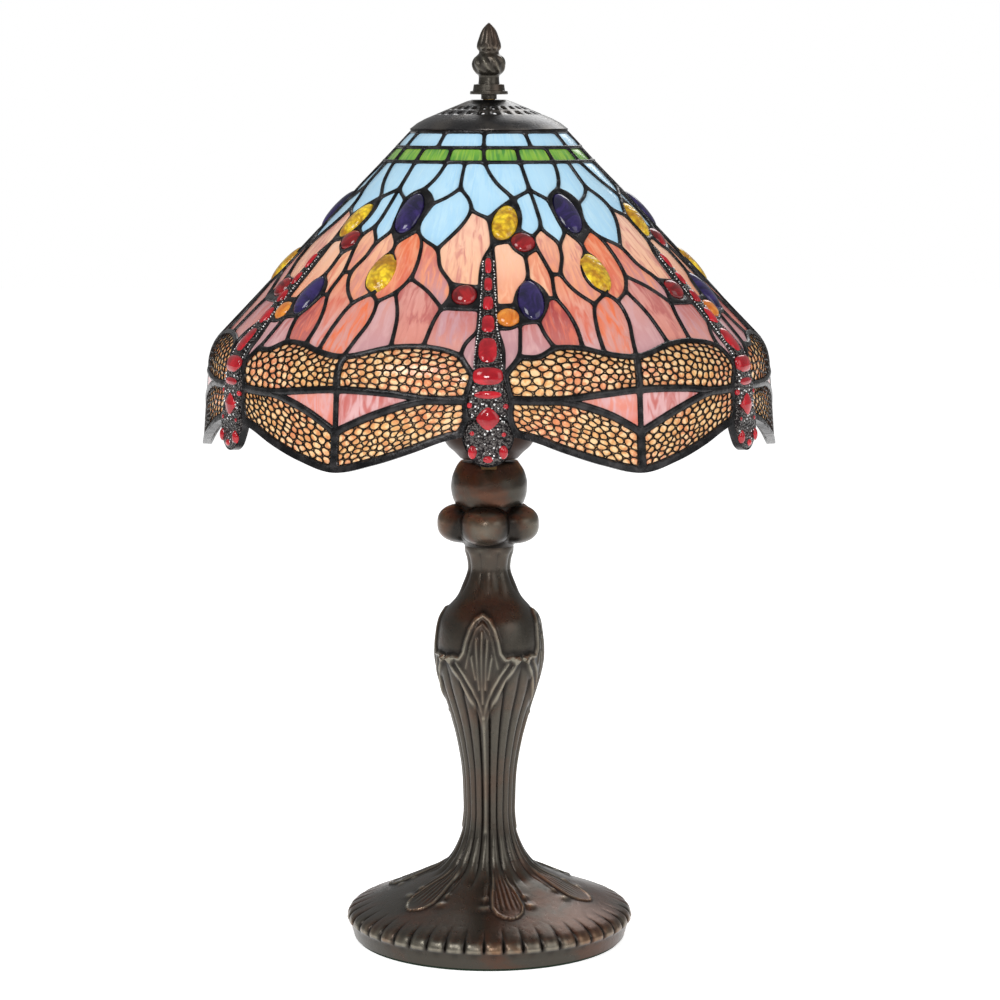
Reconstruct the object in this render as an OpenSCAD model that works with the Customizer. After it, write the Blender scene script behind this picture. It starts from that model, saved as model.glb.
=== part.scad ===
// Stained glass table lamp with a dragonfly shade on a cast bronze base.
// Millimetres, +Z up. The origin is on the table under the centre of the foot.
// Shade angles are in degrees: 0 faces -Y and +90 faces +X.

/* [Shade] */
// Height above the table of the top edge of the glass
shade_top_z = 433.9; // [433:0.1:434]
// Radius of the top edge of the glass, at mid thickness
shade_top_r = 39.2; // [39:0.1:39.3]
// Steepness of the cone, in degrees below level
cone_slope = 46.5; // [46:0.1:47]
// Length of the straight cone, measured down the slope
cone_length = 148; // [146:1:150]
// Radius of the bend between the cone and the hanging skirt
bend_r = 22; // [20:1:24]
// Steepness of the skirt, in degrees below level
skirt_slope = 86; // [84:1:88]
// Thickness of the flat glass
glass_t = 2.4; // [2:0.2:2.8]
// Thickness of the soldered joints, front to back
solder_t = 3; // [2.9:0.1:3.4]
// Width of a soldered joint between two flat pieces
solder_w = 2.2; // [1.8:0.1:2.6]

/* [Foot and stem] */
// Radius of the foot at its widest
foot_r = 76.5; // [76:0.1:78]
// Thickness of the felt under the foot
felt_t = 1.5; // [1:0.1:1.5]
// Radius of the slimmest stretch of the stem
waist_r = 13.1; // [12.5:0.1:14]
// Radius of the leaf bulb on the stem
bulge_r = 28.8; // [28:0.2:30]
// Number of lobes on the collar above the stem
collar_lobes = 5; // [4:1:6]

/* [Fittings] */
// Radius of the hollow threaded rod that clamps the column
rod_r = 5; // [4.9:0.05:5.05]
// Half of the width of the wire harp
harp_half_w = 38; // [37:0.5:40]
// Radius of the harp wire
harp_wire_r = 1.8; // [1.5:0.1:1.8]
// Radius of the round part of the light bulb
light_r = 30; // [27:0.5:30]
// Radius of the bore for the mains cable in the foot
cable_bore_r = 3.2; // [3:0.1:3.3]

/* [Hidden] */

$fn = 64;
fit = 0.1;           // radial gap of a piece that slides over another
gap = 0.3;           // gap between pieces of different bodies
glass_gap = 0.3;     // gap between a pane's edge and the solder round it
sectors = 6;         // the pattern repeats six times round the shade
sector_angle = 360 / sectors;
next = 200;          // added to a corner number to mean the same corner one sector on

bronze = "#4b443f";
dark_solder = "#3a3a3c";
brass_tone = "#a98b4e";
steel_tone = "#9a9da0";

// ---- Smooth outlines ---------------------------------------------------------------

// Point between b and c on the smooth curve through a, b, c and d
function curve_at(a, b, c, d, t) =
    0.5 * (2 * b + (c - a) * t + (2 * a - 5 * b + 4 * c - d) * t * t
        + (3 * b - a - 3 * c + d) * t * t * t);

// Smooth outline through every point, with a few steps from each to the next
function smooth(points, steps = 3) =
    let (last = len(points) - 1)
    [for (i = [0:last - 1], k = [0:steps - 1])
        curve_at(points[max(i - 1, 0)], points[i], points[i + 1], points[min(i + 2, last)],
            k / steps),
        points[last]];

// Closed ring whose section is the outline, shut along the axis side at inner_r
module turned(outline, inner_r) {
    last = len(outline) - 1;
    rotate_extrude()
        polygon(concat([[inner_r, outline[0][1]]], outline, [[inner_r, outline[last][1]]]));
}

// Flat ring or disc from one height to another
module disc(r, z0, z1, bore = 0) {
    translate([0, 0, z0])
        difference() {
            cylinder(r = r, h = z1 - z0);
            if (bore > 0)
                translate([0, 0, -1])
                    cylinder(r = bore, h = z1 - z0 + 2);
        }
}

// ---- Foot, stem and column ---------------------------------------------------------

rod_bore_r = 3.4;
rod_hole_r = rod_r + 0.3;
rod_z0 = 14;
rod_z1 = 276;
foot_wall = 3.5;
foot_inner_r = foot_r - 6.5;
boss_z = 28;          // underside of the boss that the bottom washer bears on
foot_top_z = 44.5;
stem_cut_z = 118;
bulb_top_z = 190;
stem_top_z = 214;
collar_top_z = 236.5;
knop_top_z = 259.5;
inlet_z = 8.5;        // height of the cable bushing's axis

module felt_pad() {
    color("#26382c")
        disc(foot_r - 4.5, 0, felt_t);
}

module base_cover() {
    color(steel_tone)
        disc(foot_inner_r - gap, felt_t, felt_t + 1.5);
}

module ballast_disc() {
    slot_w = 10;
    outer_r = 56;
    color("#55565a")
        difference() {
            disc(outer_r, felt_t + 1.6, 12, 14);
            translate([-slot_w / 2, 0, 0])
                cube([slot_w, outer_r + 1, 20]);
        }
}

module bottom_nut() {
    nut_r = 9.2;
    color(steel_tone)
        translate([0, 0, 18])
            difference() {
                cylinder(r = nut_r, h = 8, $fn = 6);
                translate([0, 0, -1])
                    cylinder(r = rod_r + 0.02, h = 10);
            }
}

module bottom_washer() {
    color(steel_tone)
        disc(11, 26.1, boss_z, rod_hole_r);
}

// Outer shape of the whole column below the collar, with its hollows and its bores
module column() {
    outer = smooth([
        [foot_r - 3, felt_t], [foot_r - 1, 8], [foot_r, 11.5], [foot_r - 2, 15.5],
        [68, 19], [50, 26], [36, 32.5], [27, 37], [20, foot_top_z], [15.2, 55],
        [waist_r + 0.2, 65], [waist_r, 75], [14.3, 95], [18.9, stem_cut_z],
        [bulge_r - 2.6, 141], [bulge_r, 156], [bulge_r - 1.9, 172], [22.6, 180], [16.9, 187],
        [11.6, 199], [11.4, 206], [13.1, 212], [13.1, stem_top_z]
    ]);
    foot_hollow = [
        [0, 0], [foot_inner_r, 0], [foot_inner_r + 0.8, 9], [66, 14.5], [48, 21.5], [38, boss_z],
        [0, boss_z]
    ];
    bulge_hollow = [[0, 125], [13, 128], [21, 143], [23, 157], [20, 172], [9, 184], [0, 186]];
    difference() {
        turned(outer, 0);
        rotate_extrude()
            polygon(foot_hollow);
        rotate_extrude()
            polygon(bulge_hollow);
        translate([0, 0, boss_z - 1])
            cylinder(r = rod_hole_r, h = stem_top_z - boss_z + 2);
        translate([0, foot_inner_r - 4, inlet_z])
            rotate([-90, 0, 0])
                cylinder(r = cable_bore_r + 1.8, h = 20);
    }
}

// One of the castings that are stacked on the rod to make the column
module casting(z0, z1) {
    color(bronze)
        intersection() {
            column();
            disc(foot_r + 1, z0, z1);
        }
}

module foot_casting() { casting(felt_t, foot_top_z); }
module stem_casting() { casting(foot_top_z, stem_cut_z); }
module leaf_bulb() { casting(stem_cut_z, bulb_top_z); }
module neck_casting() { casting(bulb_top_z, stem_top_z); }

// Flanged sleeve that the mains cable leaves by, at the back of the foot
module cable_bushing() {
    wall_y = foot_r - 1.4;
    color("#1c1c1e")
        difference() {
            union() {
                translate([0, foot_inner_r - 2, inlet_z])
                    rotate([-90, 0, 0])
                        cylinder(r = cable_bore_r + 1.7, h = wall_y + 1.5 - foot_inner_r + 2);
                translate([0, foot_r, inlet_z])
                    rotate([-90, 0, 0])
                        cylinder(r = cable_bore_r + 2.6, h = 1.2);
            }
            translate([0, foot_inner_r - 4, inlet_z])
                rotate([-90, 0, 0])
                    cylinder(r = cable_bore_r, h = 20);
        }
}

module lobed_collar() {
    lobe_r = 12;
    lobe_ring_r = 15.6;
    middle_z = 226.5;
    core = smooth([[13.1, stem_top_z], [14.2, 216.4], [17.5, 220], [18.6, middle_z],
        [17.6, 233], [17.6, collar_top_z]]);
    color(bronze)
        difference() {
            union() {
                turned(core, 0);
                for (i = [0:collar_lobes - 1])
                    rotate([0, 0, i * 360 / collar_lobes])
                        intersection() {
                            translate([0, -lobe_ring_r, middle_z])
                                sphere(r = lobe_r);
                            disc(30, stem_top_z + 1.5, collar_top_z);
                        }
            }
            translate([0, 0, stem_top_z - 1])
                cylinder(r = rod_hole_r, h = collar_top_z - stem_top_z + 2);
        }
}

module ball_knop() {
    ball_r = 20.4;
    color(bronze)
        difference() {
            intersection() {
                translate([0, 0, 246])
                    sphere(r = ball_r);
                disc(ball_r + 1, collar_top_z, knop_top_z);
            }
            translate([0, 0, collar_top_z - 1])
                cylinder(r = rod_hole_r, h = 30);
        }
}

module tie_rod() {
    color(steel_tone)
        disc(rod_r, rod_z0, rod_z1, rod_bore_r);
}

// ---- Harp and lampholder -----------------------------------------------------------

strap_z0 = knop_top_z + 0.1;
strap_z1 = strap_z0 + 1.5;
leg_z0 = 286.2;           // foot of the harp's wire legs
harp_centre_z = 406;      // centre of the harp's round top
cup_z0 = strap_z1 + 0.1;
cup_z1 = 284;
holder_r = 18.5;
switch_z = 296;           // height of the switch's shaft
seat_z1 = 448.9;          // top of the seat that the vent cap rests on

// Strap clamped under the cup, with an upright at each end for the harp
module harp_saddle() {
    strap_w = 8;
    color(brass_tone)
        difference() {
            union() {
                disc(9, strap_z0, strap_z1);
                translate([-strap_w / 2, -harp_half_w - 2.5, strap_z0])
                    cube([strap_w, 2 * harp_half_w + 5, strap_z1 - strap_z0]);
                for (side = [-1, 1])
                    translate([0, side * harp_half_w, strap_z1 - 0.5])
                        cylinder(r = harp_wire_r, h = leg_z0 - strap_z1 + 0.3);
            }
            translate([0, 0, strap_z0 - 1])
                cylinder(r = rod_hole_r, h = 5);
        }
}

module harp_sleeves() {
    color(brass_tone)
        for (side = [-1, 1])
            translate([0, side * harp_half_w, 0])
                disc(3.2, leg_z0 - 9, leg_z0 + 8, harp_wire_r + fit);
}

module harp() {
    color(brass_tone)
        union() {
            for (side = [-1, 1])
                translate([0, side * harp_half_w, leg_z0])
                    cylinder(r = harp_wire_r, h = harp_centre_z - leg_z0);
            translate([0, 0, harp_centre_z])
                rotate([90, 0, 90])
                    rotate_extrude(angle = 180)
                        translate([harp_half_w, 0])
                            circle(r = harp_wire_r);
        }
}

// Seat and threaded stud on top of the harp
module harp_stud() {
    harp_top_z = harp_centre_z + harp_half_w + harp_wire_r;
    color(brass_tone)
        union() {
            disc(5, harp_top_z, seat_z1 - 1);
            disc(9, seat_z1 - 1.4, seat_z1);
            disc(3.2, seat_z1 - 0.5, 458);
        }
}

module socket_cup() {
    outer = smooth([[15.4, cup_z0], [18.5, 264.5], [22.3, 268], [24.4, 272.5], [25, cup_z1]]);
    inner = smooth([[14, cup_z0 + 1.4], [17.2, 265.6], [21.2, 269], [23.2, 273.2],
        [23.8, cup_z1 + 1]]);
    color(bronze)
        difference() {
            turned(outer, 0);
            turned(inner, 0);
            translate([0, 0, cup_z0 - 1])
                cylinder(r = rod_hole_r, h = 5);
        }
}

module lampholder_cap() {
    color(brass_tone)
        difference() {
            rotate_extrude()
                polygon([[0, cup_z0 + 1.5], [11, cup_z0 + 1.5], [12.5, 266], [17.5, 272],
                    [holder_r, 279], [0, 279]]);
            rotate_extrude()
                polygon([[0, 270], [11.5, 270], [16, 273.5], [17.2, 280], [0, 280]]);
            translate([0, 0, cup_z0])
                cylinder(r = rod_r + 0.02, h = 12);
        }
}

module lampholder_body() {
    color(brass_tone)
        difference() {
            disc(holder_r, 279.1, 311, holder_r - 1.1);
            translate([0, 0, switch_z])
                rotate([0, 90, 0])
                    cylinder(r = 3, h = 30);
        }
}

module lampholder_insulator() {
    color("#e6e2d6")
        difference() {
            disc(17.3, 280.5, 310, 2);
            disc(14.6, 286.5, 311);
            translate([0, 0, switch_z])
                rotate([0, 90, 0])
                    cylinder(r = 3, h = 30);
        }
}

module screw_shell() {
    color(brass_tone)
        disc(14.5, 287, 309.5, 13.6);
}

module centre_contact() {
    color(brass_tone)
        union() {
            disc(1.9, 282, 286.6);
            disc(4, 286.6, 287.6);
        }
}

module terminal_screws() {
    color(brass_tone)
        for (side = [-1, 1])
            translate([0, side * 9, 0])
                union() {
                    disc(1.5, 277, 280.4);
                    disc(2.6, 275.6, 277.1);
                }
}

module switch_shaft() {
    color(brass_tone)
        translate([15, 0, switch_z])
            rotate([0, 90, 0])
                cylinder(r = 2, h = 19);
}

module switch_knob() {
    color("#1f1d1c")
        translate([34, 0, switch_z])
            rotate([0, 90, 0])
                union() {
                    cylinder(r = 4, h = 3);
                    translate([-6, -1.6, 2])
                        cube([12, 3.2, 9]);
                }
}

// ---- Light bulb --------------------------------------------------------------------

light_z = 364;        // centre of the round part
light_neck_z = 314.5;

module light_glass() {
    neck_r = 13.8;
    join_z = light_z - light_r * 0.62;
    join_r = light_r * 0.785;
    inside = light_r - 1;
    color("#f4efe2")
        difference() {
            union() {
                translate([0, 0, light_z])
                    sphere(r = light_r);
                turned([[neck_r, light_neck_z], [neck_r + 0.4, 323], [join_r, join_z]], 0);
            }
            translate([0, 0, light_z])
                sphere(r = inside);
            turned([[neck_r - 1, light_neck_z + 1], [neck_r - 0.6, 323.5],
                [join_r - 1.2, join_z + 1]], 0);
        }
}

module light_screw_cap() {
    color(steel_tone)
        union() {
            disc(13.2, 294, light_neck_z);
            rotate_extrude()
                polygon([[0, 290.5], [6, 290.5], [13.2, 294.1], [0, 294.1]]);
        }
}

module light_tip() {
    color(steel_tone)
        disc(3.4, 289, 290.5);
}

// ---- Vent cap and finial -----------------------------------------------------------

cap_rim_r = 41.6;
cap_rim_z = 434.45;
cap_top_z = 450.5;
cap_t = 1.3;
stud_hole_r = 3.6;

// Spun cap with rings of vent holes, resting on the harp's seat
module vent_cap() {
    outer = [[cap_rim_r, cap_rim_z], [cap_rim_r - 0.4, 435.3], [37.5, 438.5], [29, 442.4],
        [12, 449.6], [9, cap_top_z], [stud_hole_r, cap_top_z]];
    inner = [[stud_hole_r, cap_top_z - cap_t], [8.8, cap_top_z - cap_t], [11.5, 448.2],
        [28.5, 441.1], [36.7, 437.3], [39.9, cap_rim_z]];
    hole_rings = [[16, 1.1, 10], [23, 1.2, 14], [30, 1.3, 18]];
    color(dark_solder)
        difference() {
            rotate_extrude()
                polygon(concat(outer, inner));
            for (ring = hole_rings, k = [0:ring[2] - 1])
                rotate([0, 0, k * 360 / ring[2]])
                    translate([0, ring[0], 436])
                        cylinder(r = ring[1], h = 16, $fn = 24);
        }
}

// Brass ring soldered inside the top of the shade, under the vent cap
module aperture_ring() {
    color(brass_tone)
        disc(37.3, 430.5, 436.3, 36);
}

finial_z0 = cap_top_z + gap;
bud_z0 = 460.4;

module finial_foot() {
    color(bronze)
        difference() {
            union() {
                disc(4.1, finial_z0, 455);
                disc(10, 454.4, 456);
                turned([[8.3, 456], [8, 459.6], [6.8, bud_z0]], 0);
            }
            translate([0, 0, finial_z0 - 1])
                cylinder(r = 3.2 + fit, h = 12);
        }
}

// Ball on a neck with a pointed leaf bud on top
module finial_bud() {
    outline = smooth([[5.6, bud_z0], [5.4, 462.5], [7.4, 465.2], [8.7, 469], [7.4, 472.6],
        [5.1, 475], [6.3, 478.6], [5.3, 482], [3.8, 486], [1.4, 489.2], [0.3, 490.5]]);
    color(bronze)
        turned(outline, 0);
}

// ---- Shade surface -----------------------------------------------------------------

bend_angle = skirt_slope - cone_slope;
bend_length = bend_r * bend_angle * PI / 180;

// Steepness of the shade at a distance down the slope
function steepness(s) =
    s < cone_length ? cone_slope
    : min(skirt_slope, cone_slope + (s - cone_length) / bend_r * 180 / PI);

// Radius and height of the shade's middle surface at a distance down the slope
function middle_at(s) =
    let (
        on_cone = min(s, cone_length),
        g = steepness(s),
        on_skirt = max(0, s - cone_length - bend_length)
    )
    [shade_top_r + on_cone * cos(cone_slope) + bend_r * (sin(g) - sin(cone_slope))
            + on_skirt * cos(skirt_slope),
        shade_top_z - on_cone * sin(cone_slope) - bend_r * (cos(cone_slope) - cos(g))
            - on_skirt * sin(skirt_slope)];

// Point in space of a place [degrees, distance down], lifted off the middle surface
function on_shade(place, lift) =
    let (
        g = steepness(place[1]),
        p = middle_at(place[1]),
        r = p[0] + lift * sin(g)
    )
    [r * sin(place[0]), -r * cos(place[0]), p[1] + lift * cos(g)];

// ---- Pattern of one sector ---------------------------------------------------------
// Corners of the glass pieces as [degrees, distance down the slope]. The joints run along
// the edges, and each corner is shared by the pieces that meet there.

top_edge_s = 1;
corners = [
    // 0 to 15: the top edge and both edges of the green band
    [-18, top_edge_s], [-3, top_edge_s], [12, top_edge_s], [27, top_edge_s], [-23, 12],
    [-13, 12], [-3, 12], [7, 12], [17, 12], [27, 12], [-23, 22], [-12.5, 22], [-2, 22],
    [7, 22], [17, 22], [27, 22],
    // 16 to 27: between the upper and the lower blue petals
    [-25, 32], [-29, 40.5], [-12, 39.5], [-22.5, 50.5], [-7.8, 47], [-6.5, 54], [0, 60],
    [3.5, 36], [10, 47], [17.8, 41], [24.8, 48], [27.5, 43],
    // 28 to 34: round the purple oval on the sector edge
    [-24.8, 44], [-24.5, 61.5], [-24, 68], [-28, 74], [-30, 77.5], [25, 57], [26.2, 68],
    // 35 to 43: tips of the lower blue petals
    [-8.5, 63], [-12.5, 73], [-15.6, 80.5], [-21.8, 73], [17.8, 66], [14.5, 72.5], [10, 67.5],
    [11.6, 56], [22.5, 78],
    // 44 to 50: round the tilted yellow oval and the red jewel
    [7, 75], [1.2, 77], [0.8, 69], [4.7, 52.5], [14.8, 80], [10.8, 84.5], [7.6, 80],
    // 51 to 60: both sides of the dragonfly's tail
    [-1.2, 86], [-2, 96], [-2, 105], [-2, 119], [-2.2, 132.5], [-2.6, 158], [1.6, 88],
    [1.8, 117], [1.9, 131], [3, 158],
    // 61 to 77: the upper pink petals and the yellow oval on the sector edge
    [-13.5, 92], [-9.6, 103], [-9.2, 110.5], [-10.8, 118.5], [-20.3, 87], [-20.8, 99.5],
    [-15.3, 107.5], [-23.5, 109], [-27.6, 115.5], [-30, 110], [-27.1, 95], [-30, 82.5],
    [-27.6, 104], [-27.8, 87.5], [27.8, 88], [26.4, 97], [27.6, 106],
    // 78 to 93: the middle pink petals, the purple oval and the amber jewel
    [26, 117], [21.8, 86], [19.8, 97], [22, 108], [17, 97], [16, 88.5], [4.6, 131.5],
    [13.2, 105], [10.2, 100], [14.4, 112.5], [16.6, 112], [13, 121], [11.2, 127],
    [6.9, 128.5], [7.6, 106.5], [6.3, 116.5],
    // 94 to 105: the long pink petals down to the top of the wings
    [19.4, 131], [19.4, 144], [13.5, 143.5], [23.7, 147.5], [-27.2, 128], [-28.6, 140],
    [-29.5, 150], [-20, 143.5], [-13.2, 142.5], [-5.4, 148], [-4.2, 152.5], [6, 148.5],
    // 106 to 116: across the upper wings and along their lower edge
    [9.7, 149], [-12, 157], [-21, 157], [-30, 158.5], [12, 157], [21, 157], [-30, 167],
    [-18, 168], [-11.5, 170], [-4, 170], [4, 170],
    // 117 to 122: the wedges between the wings
    [13.5, 170.5], [22, 168.5], [-21.5, 177.5], [-30, 187], [23, 177.5], [-30, 207.5],
    // 123 to 137: the lower wings, the thorax and the head along the bottom edge
    [-22, 203], [-14.5, 196.5], [-8.5, 190.5], [-4.8, 188], [-3.8, 179], [3.8, 179],
    [4.8, 188], [8.5, 190.5], [14.5, 196.5], [22, 203], [-4.1, 194], [-2.6, 200], [0, 202.5],
    [2.6, 200], [4.1, 194]
];

// The pieces: the kind of glass and the corners round each piece
pieces = [
    ["top_ring", [1, 2, 3, 9, 8, 7, 6]],
    ["top_ring", [3, 0 + next, 1 + next, 6 + next, 5 + next, 4 + next, 9]],
    ["green_band", [4, 5, 6, 12, 11, 10]],
    ["green_band", [6, 7, 8, 14, 13, 12]],
    ["green_band", [8, 9, 4 + next, 10 + next, 15, 14]],
    ["upper_sky", [10, 11, 18, 19, 28, 17, 16]],
    ["upper_sky", [11, 12, 23, 24, 47, 22, 21, 20, 18]],
    ["upper_sky", [12, 13, 14, 25, 24, 23]],
    ["upper_sky", [14, 15, 10 + next, 16 + next, 17 + next, 27, 26, 25]],
    ["lower_sky", [18, 20, 21, 35, 36, 37, 38, 30, 29, 19]],
    ["lower_sky", [24, 25, 39, 40, 41, 42]],
    ["lower_sky", [25, 26, 33, 34, 43, 39]],
    ["purple", [17 + next, 28 + next, 19 + next, 29 + next, 30 + next, 31 + next, 32 + next,
        34, 33, 26, 27]],
    ["yellow", [24, 42, 41, 44, 45, 46, 22, 47]],
    ["red", [41, 40, 48, 49, 50, 44]],
    ["cream", [21, 22, 46, 45, 51, 52, 53, 62, 61, 37, 36, 35]],
    ["cream", [45, 44, 50, 49, 86, 92, 93, 58, 57]],
    ["peach", [49, 48, 83, 82, 88, 87, 85, 86]],
    ["cream", [39, 43, 79, 80, 82, 83, 48, 40]],
    ["cream", [34, 32 + next, 72 + next, 75, 76, 77, 70 + next, 78, 81, 80, 79, 43]],
    ["peach", [30, 38, 65, 66, 68, 69, 70, 73, 71, 74, 72, 32, 31]],
    ["peach", [38, 37, 61, 62, 63, 64, 67, 66, 65]],
    ["red", [62, 53, 54, 64, 63]],
    ["yellow", [72 + next, 74 + next, 71 + next, 73 + next, 70 + next, 77, 76, 75]],
    ["purple", [86, 85, 87, 89, 90, 91, 93, 92]],
    ["amber", [58, 93, 91, 84, 59]],
    ["rose", [66, 67, 64, 102, 101, 68]],
    ["mauve", [69, 68, 101, 100, 99, 98]],
    ["rose", [78, 70 + next, 69 + next, 98 + next, 99 + next, 100 + next, 97]],
    ["cream", [82, 80, 81, 78, 97, 95, 94, 88]],
    ["rose", [87, 88, 94, 95, 96, 90, 89]],
    ["rose", [64, 54, 55, 103, 102]],
    ["mauve", [55, 56, 104, 103]],
    ["mauve", [59, 84, 91, 105, 60]],
    ["mauve", [91, 90, 96, 106, 105]],
    ["upper_wing", [56, 107, 108, 109, 100, 101, 102, 103, 104]],
    ["upper_wing", [56, 115, 114, 113, 112, 109, 108, 107]],
    ["upper_wing", [60, 105, 106, 96, 95, 97, 100 + next, 109 + next, 111, 110]],
    ["upper_wing", [60, 110, 111, 109 + next, 112 + next, 118, 117, 116]],
    ["wedge", [112, 113, 114, 119, 120]],
    ["wedge", [112 + next, 120 + next, 121, 117, 118]],
    ["lower_wing", [115, 114, 119, 120, 122, 123, 124, 125, 126, 127]],
    ["lower_wing", [116, 128, 129, 130, 131, 132, 122 + next, 120 + next, 121, 117]],
    ["body", [45, 57, 58, 54, 53, 52, 51]],
    ["body", [54, 58, 59, 55]],
    ["body", [55, 59, 60, 56]],
    ["body", [56, 60, 116, 128, 127, 115]],
    ["body", [127, 128, 129, 137, 136, 135, 134, 133, 126]]
];
skirt_kinds = ["upper_wing", "lower_wing", "wedge"];
first_skirt_body = 3;   // the first three body pieces are the tail, above the wings
jewel_kinds = ["purple", "yellow", "red", "amber"];

function is_in(word, list) = len([for (w = list) if (w == word) 1]) > 0;
function corner(id) =
    id >= next ? corners[id - next] + [sector_angle, 0] : corners[id];

// Corners of a piece that is drawn going one way round
function places(piece) = [for (id = piece[1]) corner(id)];
function turning(p) =
    let (n = len(p))
    [for (i = [0:n - 1]) p[i][0] * p[(i + 1) % n][1] - p[(i + 1) % n][0] * p[i][1]]
        * [for (i = [0:n - 1]) 1];
function reversed(list) = [for (i = [len(list) - 1:-1:0]) list[i]];
function ordered_ids(piece) =
    turning(places(piece)) > 0 ? reversed(piece[1]) : piece[1];
function unit(v) = v / norm(v);

// One place moved into its piece, square to both of the edges that meet there
function moved_in(before, at, after, distance) =
    let (
        k = middle_at(at[1])[0] * PI / 180,
        a = unit([(at[0] - before[0]) * k, at[1] - before[1]]),
        b = unit([(after[0] - at[0]) * k, after[1] - at[1]]),
        side = [a[1] + b[1], -a[0] - b[0]],
        reach = distance / max(0.35, 1 + a * b)
    )
    [at[0] + side[0] * reach / k, at[1] + side[1] * reach];

function shrunk(ids, distance) =
    let (p = [for (id = ids) corner(id)], n = len(p))
    [for (i = [0:n - 1]) moved_in(p[(i + n - 1) % n], p[i], p[(i + 1) % n], distance)];

// Half of the joint's width round a piece of each kind
function joint_half(kind) = is_in(kind, jewel_kinds) ? solder_w * 0.75 : solder_w / 2;

// Twice the area of a corner's triangle in the unrolled pattern, above 0 where it bulges out
function bulge_at(a, b, c) =
    (c[0] - a[0]) * (b[1] - a[1]) - (b[0] - a[0]) * (c[1] - a[1]);
function covers(a, b, c, p) =
    bulge_at(a, b, p) >= 0 && bulge_at(b, c, p) >= 0 && bulge_at(c, a, p) >= 0;

// Length of the cut that takes off corner i, or a huge number if it can't be taken off
function cut_length(outline, ring, i) =
    let (
        n = len(ring),
        before = ring[(i + n - 1) % n],
        after = ring[(i + 1) % n],
        a = outline[before],
        b = outline[ring[i]],
        c = outline[after],
        inside = [for (v = ring)
            if (v != before && v != ring[i] && v != after && covers(a, b, c, outline[v])) v],
        k = middle_at(b[1])[0] * PI / 180
    )
    bulge_at(a, b, c) <= 0 || len(inside) > 0 ? 1e6 : norm([(c[0] - a[0]) * k, c[1] - a[1]]);

// Triangles over an outline, made by taking off the corner with the shortest cut each time
function triangles(outline, ring) =
    len(ring) == 3 ? [ring]
    : let (
        n = len(ring),
        cuts = [for (i = [0:n - 1]) cut_length(outline, ring, i)],
        i = search(min(cuts), cuts)[0]
    )
    concat([[ring[(i + n - 1) % n], ring[i], ring[(i + 1) % n]]],
        triangles(outline, [for (j = [0:n - 1]) if (j != i) ring[j]]));

// Closed slab between two lifts over an outline of places
module slab(outline, low, high) {
    n = len(outline);
    points = [for (lift = [high, low], place = outline) on_shade(place, lift)];
    tops = triangles(outline, [for (i = [0:n - 1]) i]);
    edges = [for (i = [0:n - 1])
        let (j = (i + 1) % n)
        each [[i, j, n + j], [i, n + j, n + i]]];
    polyhedron(points, concat([for (t = tops) reversed(t)], [for (t = tops) t + [n, n, n]],
        edges));
}

module glass_of(kind, low, high) {
    for (k = [0:sectors - 1])
        rotate([0, 0, k * sector_angle])
            for (piece = pieces)
                if (piece[0] == kind)
                    slab(shrunk(ordered_ids(piece), joint_half(kind) + glass_gap), low, high);
}

// Edges that only one of the chosen pieces has, found in one sector
function local_edge(a, b) = a >= next && b >= next ? [a - next, b - next] : [a, b];
function edges_of(loops) =
    [for (ids = loops, i = [0:len(ids) - 1]) local_edge(ids[i], ids[(i + 1) % len(ids)])];

// The soldered joints round the chosen pieces as one closed ring of thick strips. Its open
// edges are cut along the same diagonals from both sides, so that two rings meet face to face.
module solder_round(chosen) {
    half = solder_t / 2;
    n = len(corners);
    loops = [for (piece = chosen) ordered_ids(piece)];
    holes = [for (i = [0:len(chosen) - 1]) shrunk(loops[i], joint_half(chosen[i][0]))];
    starts = [for (i = 0, at = 0; i < len(loops); at = at + len(loops[i]), i = i + 1) at];
    hole_count = len([for (ids = loops, id = ids) 1]);
    block = 2 * (n + hole_count);
    total = sectors * block;
    points = [for (k = [0:sectors - 1])
        let (turn = [k * sector_angle, 0])
        each concat(
            [for (c = corners) on_shade(c + turn, half)],
            [for (c = corners) on_shade(c + turn, -half)],
            [for (h = holes, p = h) on_shade(p + turn, half)],
            [for (h = holes, p = h) on_shade(p + turn, -half)])];
    edge_list = edges_of(loops);
    open_edges = [for (e = edge_list) if (search([[e[1], e[0]]], edge_list)[0] == []) e];
    sector_faces = concat(
        [for (i = [0:len(loops) - 1], j = [0:len(loops[i]) - 1])
            let (
                m = len(loops[i]),
                a = loops[i][j],
                b = loops[i][(j + 1) % m],
                ca = a >= next ? a - next + block : a,
                cb = b >= next ? b - next + block : b,
                ha = 2 * n + starts[i] + j,
                hb = 2 * n + starts[i] + (j + 1) % m
            )
            each [[cb, ca, ha, hb], [ca + n, cb + n, hb + hole_count, ha + hole_count],
                [hb, ha, ha + hole_count, hb + hole_count]]],
        [for (e = open_edges)
            let (
                ca = e[0] >= next ? e[0] - next + block : e[0],
                cb = e[1] >= next ? e[1] - next + block : e[1]
            )
            each e[0] < e[1]
                ? [[ca, cb, cb + n], [ca, cb + n, ca + n]]
                : [[ca, cb, ca + n], [cb, cb + n, ca + n]]]);
    faces = [for (k = [0:sectors - 1], f = sector_faces) [for (v = f) (v + k * block) % total]];
    polyhedron(points, faces);
}

body_pieces = [for (p = pieces) if (p[0] == "body") p];
upper_pieces = [for (p = pieces) if (p[0] != "body" && !is_in(p[0], skirt_kinds)) p];
wing_pieces = [for (p = pieces) if (is_in(p[0], skirt_kinds)) p];

module upper_solder() {
    color(dark_solder)
        solder_round(concat(upper_pieces, [for (i = [0:first_skirt_body - 1]) body_pieces[i]]));
}

module skirt_solder() {
    color(dark_solder)
        solder_round(concat(wing_pieces,
            [for (i = [first_skirt_body:len(body_pieces) - 1]) body_pieces[i]]));
}

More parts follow.
